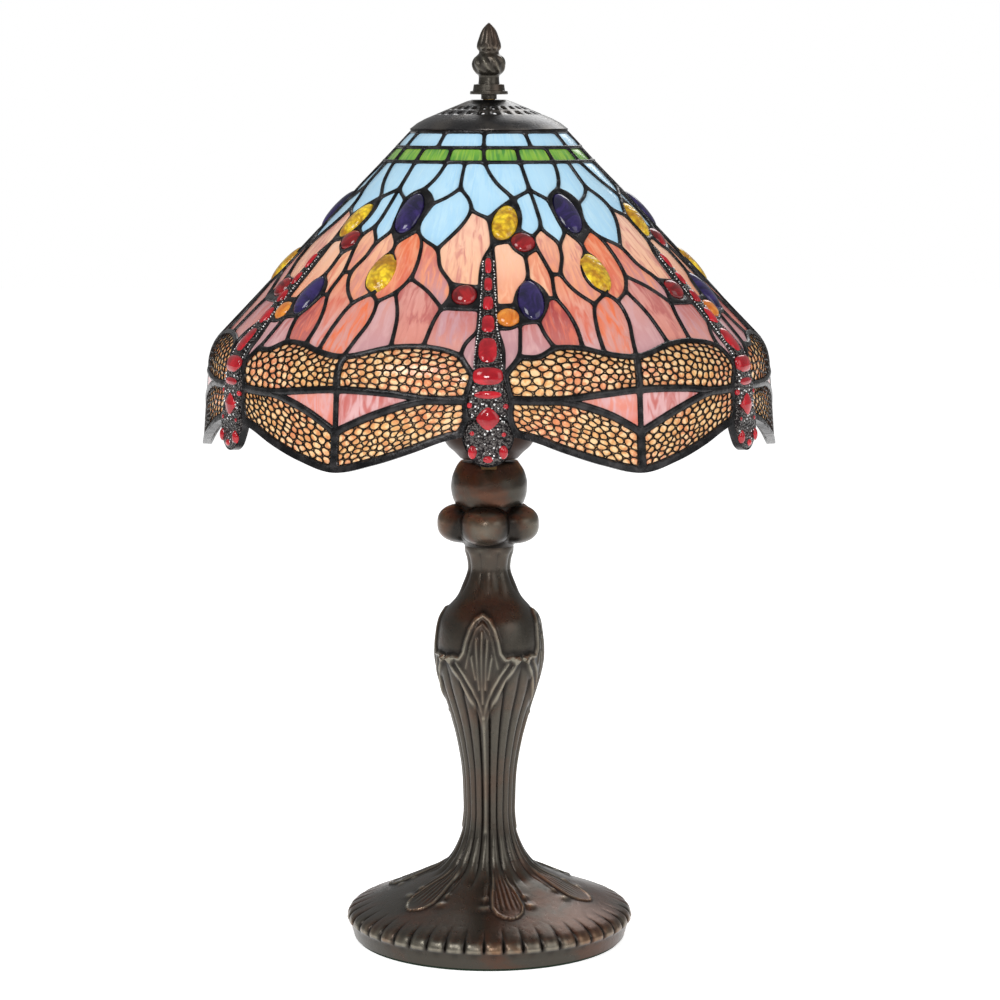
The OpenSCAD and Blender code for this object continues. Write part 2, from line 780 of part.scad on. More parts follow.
half_glass = glass_t / 2;
module top_ring_glass() { color("#bde1f3") glass_of("top_ring", -half_glass, half_glass); }
module green_band_glass() { color("#6fae45") glass_of("green_band", -half_glass, half_glass); }
module upper_sky_glass() { color("#bae3f7") glass_of("upper_sky", -half_glass, half_glass); }
module lower_sky_glass() { color("#b5e0f4") glass_of("lower_sky", -half_glass, half_glass); }
module cream_glass() { color("#f6cba9") glass_of("cream", -half_glass, half_glass); }
module peach_glass() { color("#f0966f") glass_of("peach", -half_glass, half_glass); }
module rose_glass() { color("#cd807a") glass_of("rose", -half_glass, half_glass); }
module mauve_glass() { color("#c79aa2") glass_of("mauve", -half_glass, half_glass); }
module wedge_glass() { color("#d3a3ab") glass_of("wedge", -half_glass, half_glass); }
module upper_wing_glass() { color("#f1b57e") glass_of("upper_wing", -half_glass, half_glass); }
module lower_wing_glass() { color("#f0b06c") glass_of("lower_wing", -half_glass, half_glass); }

jewel_lift = 2.8;
module purple_jewels() { color("#35305a") glass_of("purple", -half_glass, jewel_lift); }
module yellow_jewels() { color("#d8ab28") glass_of("yellow", -half_glass, jewel_lift); }
module red_jewels() { color("#8f2028") glass_of("red", -half_glass, jewel_lift); }
module amber_jewels() { color("#df8f33") glass_of("amber", -half_glass, jewel_lift); }

// Cast metal tail, thorax and head of each dragonfly
body_lift = 2.2;
module dragonfly_bodies() {
    color(dark_solder)
        glass_of("body", -half_glass, body_lift);
}

// Frame standing square on the shade at a place, with its foot at a lift
module stand_on_shade(place, lift) {
    rotate([0, 0, place[0]])
        translate(on_shade([0, place[1]], lift))
            rotate([steepness(place[1]), 0, 0])
                children();
}

// Six-sided red glass set on the tail and thorax: [distance down, half length, half width]
module tail_glass() {
    segments = [[92.5, 5, 1.1], [104.5, 4, 1.5], [116, 3.6, 1.6], [129, 5, 2], [145.5, 7, 3],
        [161, 3.2, 5], [168, 1.6, 5], [175, 3, 3.4]];
    color("#b3202a")
        for (k = [0:sectors - 1], seg = segments)
            stand_on_shade([k * sector_angle + 0.1, seg[0]], body_lift)
                linear_extrude(1.2)
                    polygon([[0, seg[1]], [seg[2], seg[1] / 2], [seg[2], -seg[1] / 2],
                        [0, -seg[1]], [-seg[2], -seg[1] / 2], [-seg[2], seg[1] / 2]]);
}

// Round red eyes at the sides of each head, and one at its front
module eye_jewels() {
    spots = [[-1.9, 194.5, 2.3], [1.9, 194.5, 2.3], [0, 199, 2.1]];
    color("#a01c26")
        for (k = [0:sectors - 1], spot = spots)
            stand_on_shade([k * sector_angle + spot[0], spot[1]], body_lift)
                cylinder(r1 = spot[2], r2 = spot[2] * 0.5, h = 2, $fn = 24);
}

// Etched metal sheets that lie just off the wing glass, one over each wing
module wing_filigree() {
    low = half_glass + 0.1;
    color(dark_solder)
        for (kind = ["upper_wing", "lower_wing"])
            glass_of(kind, low, low + 0.4);
}

// ---- Drawing -----------------------------------------------------------------------

felt_pad();
base_cover();
ballast_disc();
bottom_nut();
bottom_washer();
foot_casting();
stem_casting();
leaf_bulb();
neck_casting();
cable_bushing();
lobed_collar();
ball_knop();
tie_rod();
harp_saddle();
harp_sleeves();
harp();
harp_stud();
socket_cup();
lampholder_cap();
lampholder_body();
lampholder_insulator();
screw_shell();
centre_contact();
terminal_screws();
switch_shaft();
switch_knob();
light_glass();
light_screw_cap();
light_tip();
vent_cap();
aperture_ring();
upper_solder();
skirt_solder();
top_ring_glass();
green_band_glass();
upper_sky_glass();
lower_sky_glass();
cream_glass();
peach_glass();
rose_glass();
mauve_glass();
wedge_glass();
upper_wing_glass();
lower_wing_glass();
wing_filigree();
purple_jewels();
yellow_jewels();
red_jewels();
amber_jewels();
dragonfly_bodies();
tail_glass();
eye_jewels();
finial_foot();
finial_bud();
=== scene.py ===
# Table lamp with a leaded dragonfly shade on a cast bronze column, in metres, around the
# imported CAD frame. It is made from the table up: foot, stem, fittings, shade, cap, finial.
import math
import random

import bmesh
import bpy
import numpy as np
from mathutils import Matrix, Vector
from mathutils.geometry import delaunay_2d_cdt


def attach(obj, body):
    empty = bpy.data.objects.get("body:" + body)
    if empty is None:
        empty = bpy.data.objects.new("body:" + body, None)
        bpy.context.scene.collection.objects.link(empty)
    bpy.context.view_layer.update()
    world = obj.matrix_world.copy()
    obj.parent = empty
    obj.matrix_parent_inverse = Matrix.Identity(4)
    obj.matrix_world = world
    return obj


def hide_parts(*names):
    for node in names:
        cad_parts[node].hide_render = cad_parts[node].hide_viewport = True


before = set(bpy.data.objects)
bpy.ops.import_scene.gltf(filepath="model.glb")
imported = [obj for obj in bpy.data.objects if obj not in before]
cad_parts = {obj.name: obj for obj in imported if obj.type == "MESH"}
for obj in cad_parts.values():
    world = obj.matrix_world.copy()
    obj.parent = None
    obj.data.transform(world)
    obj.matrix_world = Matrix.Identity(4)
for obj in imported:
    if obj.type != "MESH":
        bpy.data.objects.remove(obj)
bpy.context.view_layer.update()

MM = 0.001

# ---- Camera --------------------------------------------------------------------------
# A long lens a step and a half away, a little above the middle of the shade and tipped
# down so that the foot is seen from slightly above.
camera_place = (0.0058, -1.562, 0.442)
camera_tip_down = 7.43
camera_data = bpy.data.cameras.new("camera")
camera_data.lens = 106.0
camera_data.sensor_width = 36.0
camera = bpy.data.objects.new("camera", camera_data)
camera.location = camera_place
camera.rotation_euler = (math.radians(90.0 - camera_tip_down), 0.0, 0.0)
bpy.context.scene.collection.objects.link(camera)
bpy.context.scene.camera = camera

# ---- Felt pad ------------------------------------------------------------------------
# Thick green baize disc glued under the foot. The CAD disc already has its shape, so it
# only gets a napped, slightly dusty cloth finish.


class Flow:
    """One value in a finish. Sums and products of values add the Math nodes."""

    def __init__(self, finish, socket):
        self.finish = finish
        self.socket = socket

    def joined(self, operation, other):
        return self.finish.node("ShaderNodeMath", {"operation": operation}, {0: self, 1: other})

    def __add__(self, other):
        return self.joined("ADD", other)

    def __mul__(self, other):
        return self.joined("MULTIPLY", other)

    def ramp(self, low, high):
        """0 below the low value, 1 above the high one, and a soft step between."""
        return self.finish.node("ShaderNodeMapRange", {"interpolation_type": "SMOOTHSTEP"},
                                {"Value": self, "From Min": low, "From Max": high})


class Finish:
    """A material, made from a Principled shader and the nodes that feed it."""

    def __init__(self, name, **sockets):
        self.material = bpy.data.materials.new(name)
        self.material.use_nodes = True
        self.tree = self.material.node_tree
        self.shader = self.tree.nodes["Principled BSDF"]
        self.set(**sockets)

    def set(self, **sockets):
        for name, value in sockets.items():
            self.feed(self.shader.inputs[name.replace("_", " ")], value)

    def feed(self, socket, value):
        if isinstance(value, Flow):
            self.tree.links.new(value.socket, socket)
        else:
            socket.default_value = value

    def node(self, kind, settings=None, sockets=None, output=0):
        made = self.tree.nodes.new(kind)
        for name, value in (settings or {}).items():
            setattr(made, name, value)
        for name, value in (sockets or {}).items():
            self.feed(made.inputs[name], value)
        return Flow(self, made.outputs[output])

    def place(self):
        return self.node("ShaderNodeTexCoord", output="Object")

    def stretched(self, vector, scale):
        return self.node("ShaderNodeMapping", {}, {"Vector": vector, "Scale": scale})

    def noise(self, vector, scale, detail=4.0, roughness=0.55, distortion=0.0):
        return self.node("ShaderNodeTexNoise", {"noise_dimensions": "3D"},
                         {"Vector": vector, "Scale": scale, "Detail": detail,
                          "Roughness": roughness, "Distortion": distortion})

    def mix(self, share, first, second):
        return self.node("ShaderNodeMix", {"data_type": "RGBA"},
                         {0: share, 6: first, 7: second}, 2)

    def attribute(self, name, output="Fac"):
        return self.node("ShaderNodeAttribute", {"attribute_name": name}, output=output)

    def bump(self, height, depth, strength=1.0):
        self.set(Normal=self.node("ShaderNodeBump", {},
                                  {"Height": height, "Distance": depth,
                                   "Strength": strength}))


def tone(red, green, blue):
    """A colour given in the 0 to 255 steps of a screen, as the shaders want it."""
    steps = [value / 255.0 for value in (red, green, blue)]
    return tuple(s / 12.92 if s <= 0.04045 else ((s + 0.055) / 1.055) ** 2.4
                 for s in steps) + (1.0,)


def coat_node(finish, slot, *names):
    """Gives carried-over CAD nodes a finish. The slot is not used."""
    for name in names:
        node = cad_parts[name]
        node.data.materials.clear()
        node.data.materials.append(finish.material)


def speckled(name, dark, pale, grain, gloss=None, bump=None, edge=None, **sockets):
    """A finish of one speckle: its two tones, and how it changes the shine and the surface."""
    made = Finish(name, **sockets)
    speckle = made.noise(made.place(), *grain)
    share = speckle.ramp(*edge) if edge else speckle
    made.set(Base_Color=made.mix(share, tone(*dark), tone(*pale)))
    if gloss:
        made.set(Roughness=speckle * gloss[0] + gloss[1])
    if bump:
        made.bump(speckle, *bump)
    return made


felt = speckled("felt", (20, 30, 24), (62, 78, 64), grain=(900.0, 6.0, 0.7), bump=(0.0004,),
                Roughness=0.95, Specular_IOR_Level=0.15)
coat_node(felt, "felt", "felt_pad")

# ---- Works inside the foot -----------------------------------------------------------
# Cast-iron ballast, a pressed steel cover, and the nut and washer on the threaded rod
# that clamps the whole column. None of them shows from the side.
raw_steel = Finish("raw_steel", Metallic=1.0)
brushed = raw_steel.noise(raw_steel.stretched(raw_steel.place(), (60.0, 60.0, 900.0)), 3.0)
raw_steel.set(Base_Color=raw_steel.mix(brushed, tone(120, 120, 122), tone(182, 182, 180)),
              Roughness=brushed * 0.2 + 0.28)
coat_node(raw_steel, "steel", "base_cover", "bottom_nut", "bottom_washer", "tie_rod")

iron = speckled("cast_iron", (40, 39, 40), (96, 92, 90), grain=(420.0, 8.0, 0.7),
                gloss=(0.25, 0.55), bump=(0.0006,), Metallic=0.5)
coat_node(iron, "iron", "ballast_disc")

# ---- Foot ----------------------------------------------------------------------------
# Round cast foot with a plain band, a rim of rounded gadroons that die away inwards, and
# six tongue-shaped leaves that run out from the flutes of the stem, with buds between.
foot_outline = [(73.5, 1.5), (74.6, 5.5), (75.5, 9.0), (76.5, 11.5), (74.5, 15.5), (68, 19),
                (50, 26), (36, 32.5), (27, 37), (20, 44.5)]
stem_outline = [(20, 44.5), (15.2, 55), (13.3, 65), (13.1, 75), (14.3, 95), (18.9, 118),
                (26.2, 141), (28.8, 156), (26.9, 172), (22.6, 180), (16.9, 187), (11.6, 199),
                (11.4, 206), (13.1, 212), (13.1, 214)]
foot_hollow = [(18, 44.5), (17, 31), (38, 28), (48, 21.5), (66, 14.5), (70.8, 9), (70, 1.5)]
gadroons = 46
tongues = 6
tongue_turn = 12.0
flutes = 20
leaf_turn = -8.0


def smooth_outline(points, steps):
    """Points along the smooth curve through all of an outline's points."""
    p = np.array(points, float)
    before = np.vstack([p[:1], p[:-2]])
    after = np.vstack([p[2:], p[-1:]])
    t = (np.arange(steps) / steps)[None, :, None]
    a, b, c, d = before[:, None], p[:-1, None], p[1:, None], after[:, None]
    curve = 0.5 * (2 * b + (c - a) * t + (2 * a - 5 * b + 4 * c - d) * t ** 2
                   + (3 * b - a - 3 * c + d) * t ** 3)
    return np.vstack([curve.reshape(-1, 2), p[-1:]])


def evenly(points, spacing):
    """The same outline with points a near-even distance apart."""
    steps = np.r_[0.0, np.cumsum(np.linalg.norm(np.diff(points, axis=0), axis=1))]
    count = max(2, int(round(steps[-1] / spacing)) + 1)
    at = np.linspace(0.0, steps[-1], count)
    return np.stack([np.interp(at, steps, points[:, 0]), np.interp(at, steps, points[:, 1])], 1)


def ease(low, high, value):
    t = np.clip((value - low) / (high - low), 0.0, 1.0)
    return t * t * (3.0 - 2.0 * t)


def made_object(name, points, faces, finish, body, slot, replaced=(), values=None):
    """Links a mesh, its finish and its point values, and rides it on its body."""
    mesh = bpy.data.meshes.new(name)
    mesh.from_pydata([tuple(p) for p in np.asarray(points).tolist()], [], faces)
    for key, value in (values or {}).items():
        kind = "FLOAT_COLOR" if np.ndim(value) == 2 else "FLOAT"
        field = "color" if kind == "FLOAT_COLOR" else "value"
        layer = mesh.attributes.new(key, kind, "POINT")
        layer.data.foreach_set(field, np.asarray(value, np.float32).ravel())
    made = bpy.data.objects.new(name, mesh)
    bpy.context.scene.collection.objects.link(made)
    mesh.materials.append(finish.material)
    tidy_mesh(mesh)
    if body:
        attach(made, body)
        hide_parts(*replaced)
    return made


def tidy_mesh(mesh):
    """Closes seams and poles, turns every face outwards and shades the mesh smooth."""
    seam_gap, no_length, sharp = 2e-6, 1e-7, math.radians(50.0)
    work = bmesh.new()
    work.from_mesh(mesh)
    bmesh.ops.remove_doubles(work, verts=work.verts, dist=seam_gap)
    bmesh.ops.dissolve_degenerate(work, edges=work.edges, dist=no_length)
    bmesh.ops.recalc_face_normals(work, faces=work.faces)
    work.to_mesh(mesh)
    work.free()
    mesh.polygons.foreach_set("use_smooth", [True] * len(mesh.polygons))
    mesh.set_sharp_from_angle(angle=sharp)


def ring_faces(rows, around, first=0, closed=False):
    """Quads from each row of points round a ring to the next row."""
    faces = []
    for row in range(rows if closed else rows - 1):
        one = first + row * around
        other = first + (row + 1) % rows * around
        faces += [(one + i, one + j, other + j, other + i)
                  for i, j in zip(range(around), [*range(1, around), 0])]
    return faces


def closed_skin(name, R, Z, turn, height, *finish_and_place):
    """A ring-shaped solid from rows of points round the axis, closed from last to first."""
    a = np.radians(turn)
    points = np.stack([R * np.sin(a), -R * np.cos(a), Z], 2).reshape(-1, 3) * MM
    return made_object(name, points, ring_faces(*R.shape, closed=True), *finish_and_place,
                       {"height": height.ravel()})


def revolved(name, outer, inner, around, relief, finish, body, slot, replaced,
             fades=(1.5, 1.5)):
    """A ring-shaped casting: the outer outline with relief, closed by the inner one."""
    outer = np.asarray(outer, float)
    inner = np.asarray(inner, float)
    turn = np.arange(around) * 360.0 / around
    along = np.gradient(outer, axis=0)
    along /= np.linalg.norm(along, axis=1)[:, None]
    distance = np.r_[0.0, np.cumsum(np.linalg.norm(np.diff(outer, axis=0), axis=1))]
    T, R = np.meshgrid(turn, outer[:, 0])
    Z = np.repeat(outer[:, 1:2], around, axis=1)
    S = np.repeat(distance[:, None], around, axis=1)
    lift = relief(T, R, Z, S) if relief else np.zeros_like(T)
    lift = lift * ease(-0.01, fades[0], S) * ease(-0.01, fades[1], distance[-1] - S)
    R = np.vstack([R + lift * along[:, 1:2], np.repeat(inner[:, 0:1], around, axis=1)])
    Z = np.vstack([Z - lift * along[:, 0:1], np.repeat(inner[:, 1:2], around, axis=1)])
    height = np.vstack([lift - blurred(lift), np.zeros((len(inner), around))])
    return closed_skin(name, R, Z, turn, height, finish, body, slot, replaced)


def blurred(lift, reach=5):
    """The relief averaged over its surroundings, to tell ridges from hollows."""
    steps = range(-reach, reach + 1)
    soft = sum(np.roll(lift, k, 1) for k in steps) / len(steps)
    padded = np.pad(soft, ((reach, reach), (0, 0)), mode="edge")
    return sum(padded[reach + k:reach + k + len(lift)] for k in steps) / len(steps)


def off_centre(turn, count, first=0.0):
    """Degrees from the nearest of some evenly spaced centres."""
    gap = 360.0 / count
    return (turn - first + gap / 2) % gap - gap / 2


def foot_relief(T, R, Z, S):
    across = np.abs(off_centre(T, gadroons, 2.0) / (180.0 / gadroons))
    rim_s = 9.5
    depth = np.interp(S, [rim_s, rim_s + 4, 18, 28], [2.6, 2.0, 0.8, 0.0])
    lift = 0.35 * depth - depth * (1.0 - np.sqrt(np.clip(1.0 - across ** 3.6, 0, 1)))
    lift = lift * ease(rim_s - 0.6, rim_s + 0.4, S)

    sideways = np.radians(off_centre(T, tongues, tongue_turn)) * R
    tip_r = 58.0
    half = np.interp(R, [22, 30, 40, 48, 53, 56, tip_r], [3.6, 5.0, 7.6, 9.0, 7.6, 4.6, 0.0])
    from_edge = half - np.abs(sideways)
    on_foot = (1.0 - ease(57.0, 58.5, R)) * ease(21.0, 28.0, R)
    pad = ease(-0.5, 0.9, from_edge) * 0.5
    border = np.exp(-((from_edge - 0.9) / 0.7) ** 2) * 0.7
    vein_gap = np.interp(R, [18, 32, 50], [1.6, 2.2, 3.0])
    veins = (0.5 + 0.5 * np.cos(2 * np.pi * sideways / vein_gap)) * ease(1.8, 2.8, from_edge)
    lift = lift + (pad + border + veins * 0.35 * (1.0 - ease(46.0, 52.0, R))) * on_foot

    between = np.radians(off_centre(T, tongues * 2, tongue_turn + 15.0)) * R
    rays = np.exp(-(between / 0.7) ** 2) * ease(24.0, 32.0, R) * (1.0 - ease(42.0, 47.0, R))
    lift = lift + rays * 0.35
    for bud_r, bud_size, bud_lift in ((48.0, 2.6, 0.9), (41.0, 1.8, 0.7)):
        near = (between / bud_size / 1.4) ** 2 + ((R - bud_r) / bud_size) ** 2
        lift = lift + np.exp(-near * 1.6) * bud_lift * (from_edge < -1.0)
    near_stem = 1.0 - ease(20.0, 36.0, R)
    return lift + fluting(T) * 1.6 * near_stem


def fluting(T):
    """Rounded ridges that run from the top of the foot up the waist of the stem."""
    return np.abs(np.cos(np.radians(T - leaf_turn) * flutes / 2)) ** 0.8 - 0.65


def patina(name, warmth, shine):
    """Cast bronze: dark hollows, red-brown patches, ridges pale from wear and a painted highlight.
    """
    made = Finish(name, Metallic=0.72, Specular_IOR_Level=0.5)
    at = made.place()
    cloud = made.noise(at, 26.0, 5.0, 0.6, 0.6)
    grain = made.noise(at, 330.0, 6.0, 0.65)
    height = made.attribute("height")
    ridge = (height + grain * 0.25).ramp(0.15, 0.75)
    dark = made.mix(grain, tone(24, 21, 19), tone(48, 43, 38))
    red = cloud.ramp(0.44, 0.66) * warmth
    mid = made.mix(red, tone(70, 66, 59), tone(90, 60, 45))
    # The pale ridge tone is partly rubbed wear and partly a painted highlight.
    wear_and_highlight = made.mix(red, tone(164, 158, 142), tone(160, 120, 82))
    colour = made.mix(height.ramp(-0.5, 0.12), dark, mid)
    made.set(Base_Color=made.mix(ridge * shine, colour, wear_and_highlight),
             Roughness=grain * 0.2 + 0.2)
    made.bump(grain, 0.00025, 0.6)
    return made


foot_bronze = patina("foot_bronze", warmth=0.8, shine=0.5)
column_steps = 8
column_curve = smooth_outline(foot_outline + stem_outline[1:], column_steps)
seam_row = (len(foot_outline) - 1) * column_steps
foot_around = gadroons * 16
revolved("foot_shell", evenly(column_curve[:seam_row + 1], 0.95), foot_hollow, foot_around,
         foot_relief, foot_bronze, "base", "bronze", ["foot_casting"], fades=(1.5, 0.0))

# ---- Stem ----------------------------------------------------------------------------
# Cast stem on the foot: twenty flutes at the waist, a bulb wrapped in four pointed leaves
# with curled side lobes, and a grooved neck under the collar.
stem_bore = [(5.5, 214), (5.5, 44.5)]
leaves = 4
leaf_arch = [(0, 179.5), (3.6, 177.2), (6.6, 172.5), (8.7, 166.5), (10.2, 160), (12.6, 156.6),
             (17.0, 157.4), (21.0, 156.2)]
leaf_inner_arch = [(0, 175.6), (3.4, 172.0), (5.8, 166.0), (7.4, 158.0), (8.6, 152.0)]
leaf_side = [(21.0, 156.2), (18.6, 153.2), (14.6, 148.0), (9.4, 140.0), (4.6, 131.0),
             (1.4, 121.0), (0, 112.0)]
leaf_fold = [(14.2, 154.2), (9.6, 148.0), (5.2, 140.0), (1.8, 131.0), (0, 124.0)]


def distance_to(x, z, line):
    """Distance from every point to a line through a few points, with x taken either side."""
    near = np.full_like(x, 1e3)
    for (x0, z0), (x1, z1) in zip(line[:-1], line[1:]):
        run = np.array([x1 - x0, z1 - z0])
        t = np.clip(((x - x0) * run[0] + (z - z0) * run[1]) / (run @ run), 0.0, 1.0)
        near = np.minimum(near, np.hypot(x - x0 - t * run[0], z - z0 - t * run[1]))
    return near


def leaf_half(z):
    return np.interp(z, [112, 131, 140, 148, 153, 156.2, 157.5, 160, 166.5, 172.5, 177, 179.5],
                     [0, 4.6, 9.4, 14.6, 18.6, 21, 12, 10.2, 8.7, 6.6, 3.6, 0])


def stem_relief(T, R, Z, S):
    on_waist = 1.0 - ease(146.0, 156.0, Z)
    lift = fluting(T) * np.interp(Z, [44, 60, 90, 125, 150], [1.6, 1.3, 1.2, 1.7, 1.2])
    lift = lift * on_waist
    x = np.abs(np.radians(off_centre(T, leaves, leaf_turn))) * R
    body = ease(-0.4, 0.6, leaf_half(Z) - x) * (Z < 179.5)
    lift = lift * (1.0 - body * ease(124.0, 140.0, Z) * 0.85)
    lift += body * ease(128.0, 150.0, Z) * 0.3
    lift += np.exp(-(distance_to(x, Z, leaf_arch) / 1.1) ** 2) * 1.2
    lift += np.exp(-(distance_to(x, Z, leaf_inner_arch) / 0.7) ** 2) * 0.5
    taper = ease(110.0, 138.0, Z)
    lift += np.exp(-(distance_to(x, Z, leaf_side) / 1.15) ** 2) * 1.2 * taper
    lift += np.exp(-(distance_to(x, Z, leaf_fold) / 1.0) ** 2) * 1.0 * taper
    curl = np.sqrt(np.clip(1.0 - ((x - 18.6) / 2.8) ** 2 - ((Z - 155.6) / 2.0) ** 2, 0, 1))
    lift += curl * 0.9
    for bar_x, top, foot_x, foot_z in ((0.0, 171.0, 0.0, 132.0), (3.0, 167.0, 1.6, 140.0),
                                       (5.4, 158.0, 3.4, 146.0)):
        bar = distance_to(x, Z, [(bar_x, top), (foot_x, foot_z)])
        lift += np.exp(-(bar / 0.75) ** 2) * 0.7
    lift += np.exp(-(distance_to(x, Z, [(0, 124), (0, 60)]) / 0.9) ** 2) * 0.7
    neck = (np.abs(np.cos(np.radians(T) * 4)) - 0.6) * 0.9
    return lift + neck * ease(187.0, 194.0, Z) * (1.0 - ease(210.0, 212.5, Z))


stem_bronze = patina("stem_bronze", warmth=0.35, shine=0.5)
stem_around = flutes * 21
revolved("stem_shell", evenly(column_curve[seam_row:], 0.85), stem_bore, stem_around,
         stem_relief, stem_bronze, "base", "bronze",
         ["stem_casting", "leaf_bulb", "neck_casting"], fades=(0.0, 1.5))

# ---- Cable bushing -------------------------------------------------------------------
# Moulded flanged sleeve in the band at the back, where the mains cable comes in.
moulded = speckled("moulded_plastic", (24, 23, 23), (46, 44, 43), grain=(1400.0, 3.0),
                   gloss=(0.2, 0.42), bump=(0.0001,), Specular_IOR_Level=0.4)
coat_node(moulded, "black_plastic", "cable_bushing", "switch_knob")

# ---- Lobed collar --------------------------------------------------------------------
# Cast collar of five plump lobes between the stem's neck and the ball.
collar_lobes = 5
collar_turn = -7.0
lobe_place, lobe_size, lobe_z = 14.4, 13.6, 226.4
lobe_half_high = 10.6
rod_bore = 5.6


def collar_relief(T, R, Z, S):
    off = np.radians(off_centre(T, collar_lobes, collar_turn))
    squash = np.abs((Z - lobe_z) / lobe_half_high) ** 2.6 * lobe_size ** 2
    room = lobe_size ** 2 - (lobe_place * np.sin(off)) ** 2 - squash
    reach = lobe_place * np.cos(off) + np.sqrt(np.clip(room, 0.0, None))
    return np.where(room > 0, np.maximum(reach - R, 0.0), 0.0)


collar_core = [(13.1, 214), (15.0, 216.2), (19.5, 219), (21.6, 222.5), (21.2, 227), (18.6, 233),
               (17.6, 236.5)]
collar_bronze = patina("collar_bronze", warmth=0.7, shine=0.25)


def straight_out(name, outline, bore, around, reach, finish, body, slot, replaced):
    """A casting whose relief goes straight out from the axis, such as plump lobes."""
    outline = np.asarray(outline, float)
    turn = np.arange(around) * 360.0 / around
    T, R = np.meshgrid(turn, outline[:, 0])
    Z = np.repeat(outline[:, 1:2], around, axis=1)
    lift = reach(T, R, Z, Z)
    R = np.vstack([R + lift, np.full((2, around), bore)])
    Z = np.vstack([Z, np.full((1, around), outline[-1, 1]), np.full((1, around), outline[0, 1])])
    height = np.vstack([lift / 4.0 - 1.1, np.zeros((2, around))])
    return closed_skin(name, R, Z, turn, height, finish, body, slot, replaced)


straight_out("collar_casting", evenly(smooth_outline(collar_core, 6), 0.5), rod_bore, 320,
             collar_relief, collar_bronze, "base", "bronze", ["lobed_collar"])

# ---- Ball knop -----------------------------------------------------------------------
# Plain cast ball, turned and polished, between the collar and the lampholder cup.
knop_r, knop_z = 20.4, 246.0
knop_low, knop_high = 236.5, 259.5
knop_heights = np.linspace(knop_low, knop_high, 40)
knop_outline = np.stack([np.sqrt(knop_r ** 2 - (knop_heights - knop_z) ** 2), knop_heights], 1)


def knop_relief(T, R, Z, S):
    return 0.05 * np.sin(np.radians(T) * 5 + Z * 0.4) + 0.04 * np.sin(np.radians(T) * 3 - Z)


knop_bronze = patina("knop_bronze", warmth=1.0, shine=0.55)
revolved("knop_casting", knop_outline, [(rod_bore, knop_high), (rod_bore, knop_low)], 128,
         knop_relief, knop_bronze, "base", "bronze", ["ball_knop"])

# ---- Harp, its saddle and sleeves ----------------------------------------------------
# Brass wire loop that carries the shade, held by two sliding sleeves on a strap that is
# clamped under the lampholder. Drawn brass, lacquered and slightly dulled.
brass = Finish("drawn_brass", Metallic=1.0, Coat_Weight=0.2)
drawn = brass.noise(brass.stretched(brass.place(), (500.0, 500.0, 60.0)), 2.0, 5.0)
spots = brass.noise(brass.place(), 90.0, 4.0)
brass.set(Base_Color=brass.mix(spots.ramp(0.4, 0.7), tone(198, 162, 92), tone(140, 106, 58)),
          Roughness=drawn * 0.25 + 0.18)
coat_node(brass, "brass", "harp_sleeves", "harp", "harp_stud",
          "lampholder_cap", "lampholder_body", "screw_shell", "centre_contact",
          "terminal_screws", "switch_shaft", "aperture_ring")

aged_brass = speckled("aged_brass", (44, 36, 26), (104, 82, 48), grain=(140.0, 5.0),
                      gloss=(0.3, 0.3), Metallic=0.9)
coat_node(aged_brass, "brass", "harp_saddle")

# ---- Lampholder cup ------------------------------------------------------------------
# Spun bronze cup round the foot of the lampholder, with a rolled rim, browned almost black.
cup_outer = smooth_outline([(15.4, 261.2), (18.5, 264.5), (22.3, 268), (24.4, 272.5),
                            (24.7, 281.6)], 6)
roll_r, roll_z, roll_half_wide, roll_half_high = 25.05, 282.9, 0.65, 0.9
cup_roll = [(roll_r + roll_half_wide * math.cos(a), roll_z + roll_half_high * math.sin(a))
            for a in np.radians(np.linspace(-100, 150, 10))]
cup_inner = [(23.8, 282), (23.2, 273.2), (21.2, 269), (17.2, 265.6), (14, 262.6),
             (rod_bore, 262.6), (rod_bore, 261.2)]
cup_bronze = speckled("cup_bronze", (24, 17, 14), (58, 36, 26), grain=(60.0, 5.0, 0.6),
                      gloss=(0.2, 0.3), bump=(0.0002, 0.5), Metallic=0.6,
                      Specular_IOR_Level=0.3)
revolved("cup_shell", np.vstack([cup_outer, cup_roll]), cup_inner, 128, None, cup_bronze,
         "base", "bronze", ["socket_cup"])

# ---- Lampholder and switch -----------------------------------------------------------
# Glazed porcelain insulator in a brass shell. The brass parts took their finish above.
porcelain = speckled("porcelain", (226, 222, 208), (244, 242, 232), grain=(60.0, 3.0),
                     Roughness=0.16, Coat_Weight=0.6)
coat_node(porcelain, "porcelain", "lampholder_insulator")

# ---- Light bulb ----------------------------------------------------------------------
# Frosted globe bulb on an aluminium screw cap, unlit; its glass still shines faintly, as painted
# light.
frosted = Finish("frosted_glass", Roughness=0.35, Emission_Strength=0.25)
frost = frosted.noise(frosted.place(), 120.0, 4.0)
frost_colour = frosted.mix(frost, tone(238, 232, 218), tone(252, 250, 244))
frosted.set(Base_Color=frost_colour, Emission_Color=frost_colour)
coat_node(frosted, "light_glass", "light_glass")
coat_node(raw_steel, "steel", "light_screw_cap", "light_tip")

# ---- Shade: the cartoon --------------------------------------------------------------
# The pattern that the shade is cut from, as one sixth of the unrolled shade. A corner is
# [degrees, millimetres down the slope]; the joints run smoothly from corner to corner.
shade_top_r, shade_top_z = 39.2, 433.9
cone_slope, cone_length = math.radians(46.5), 148.0
bend_r, skirt_slope = 22.0, math.radians(86.0)
sectors = 6
sector_angle = 360.0 / sectors
following = 200            # added to a corner's number: the same corner, one sector on

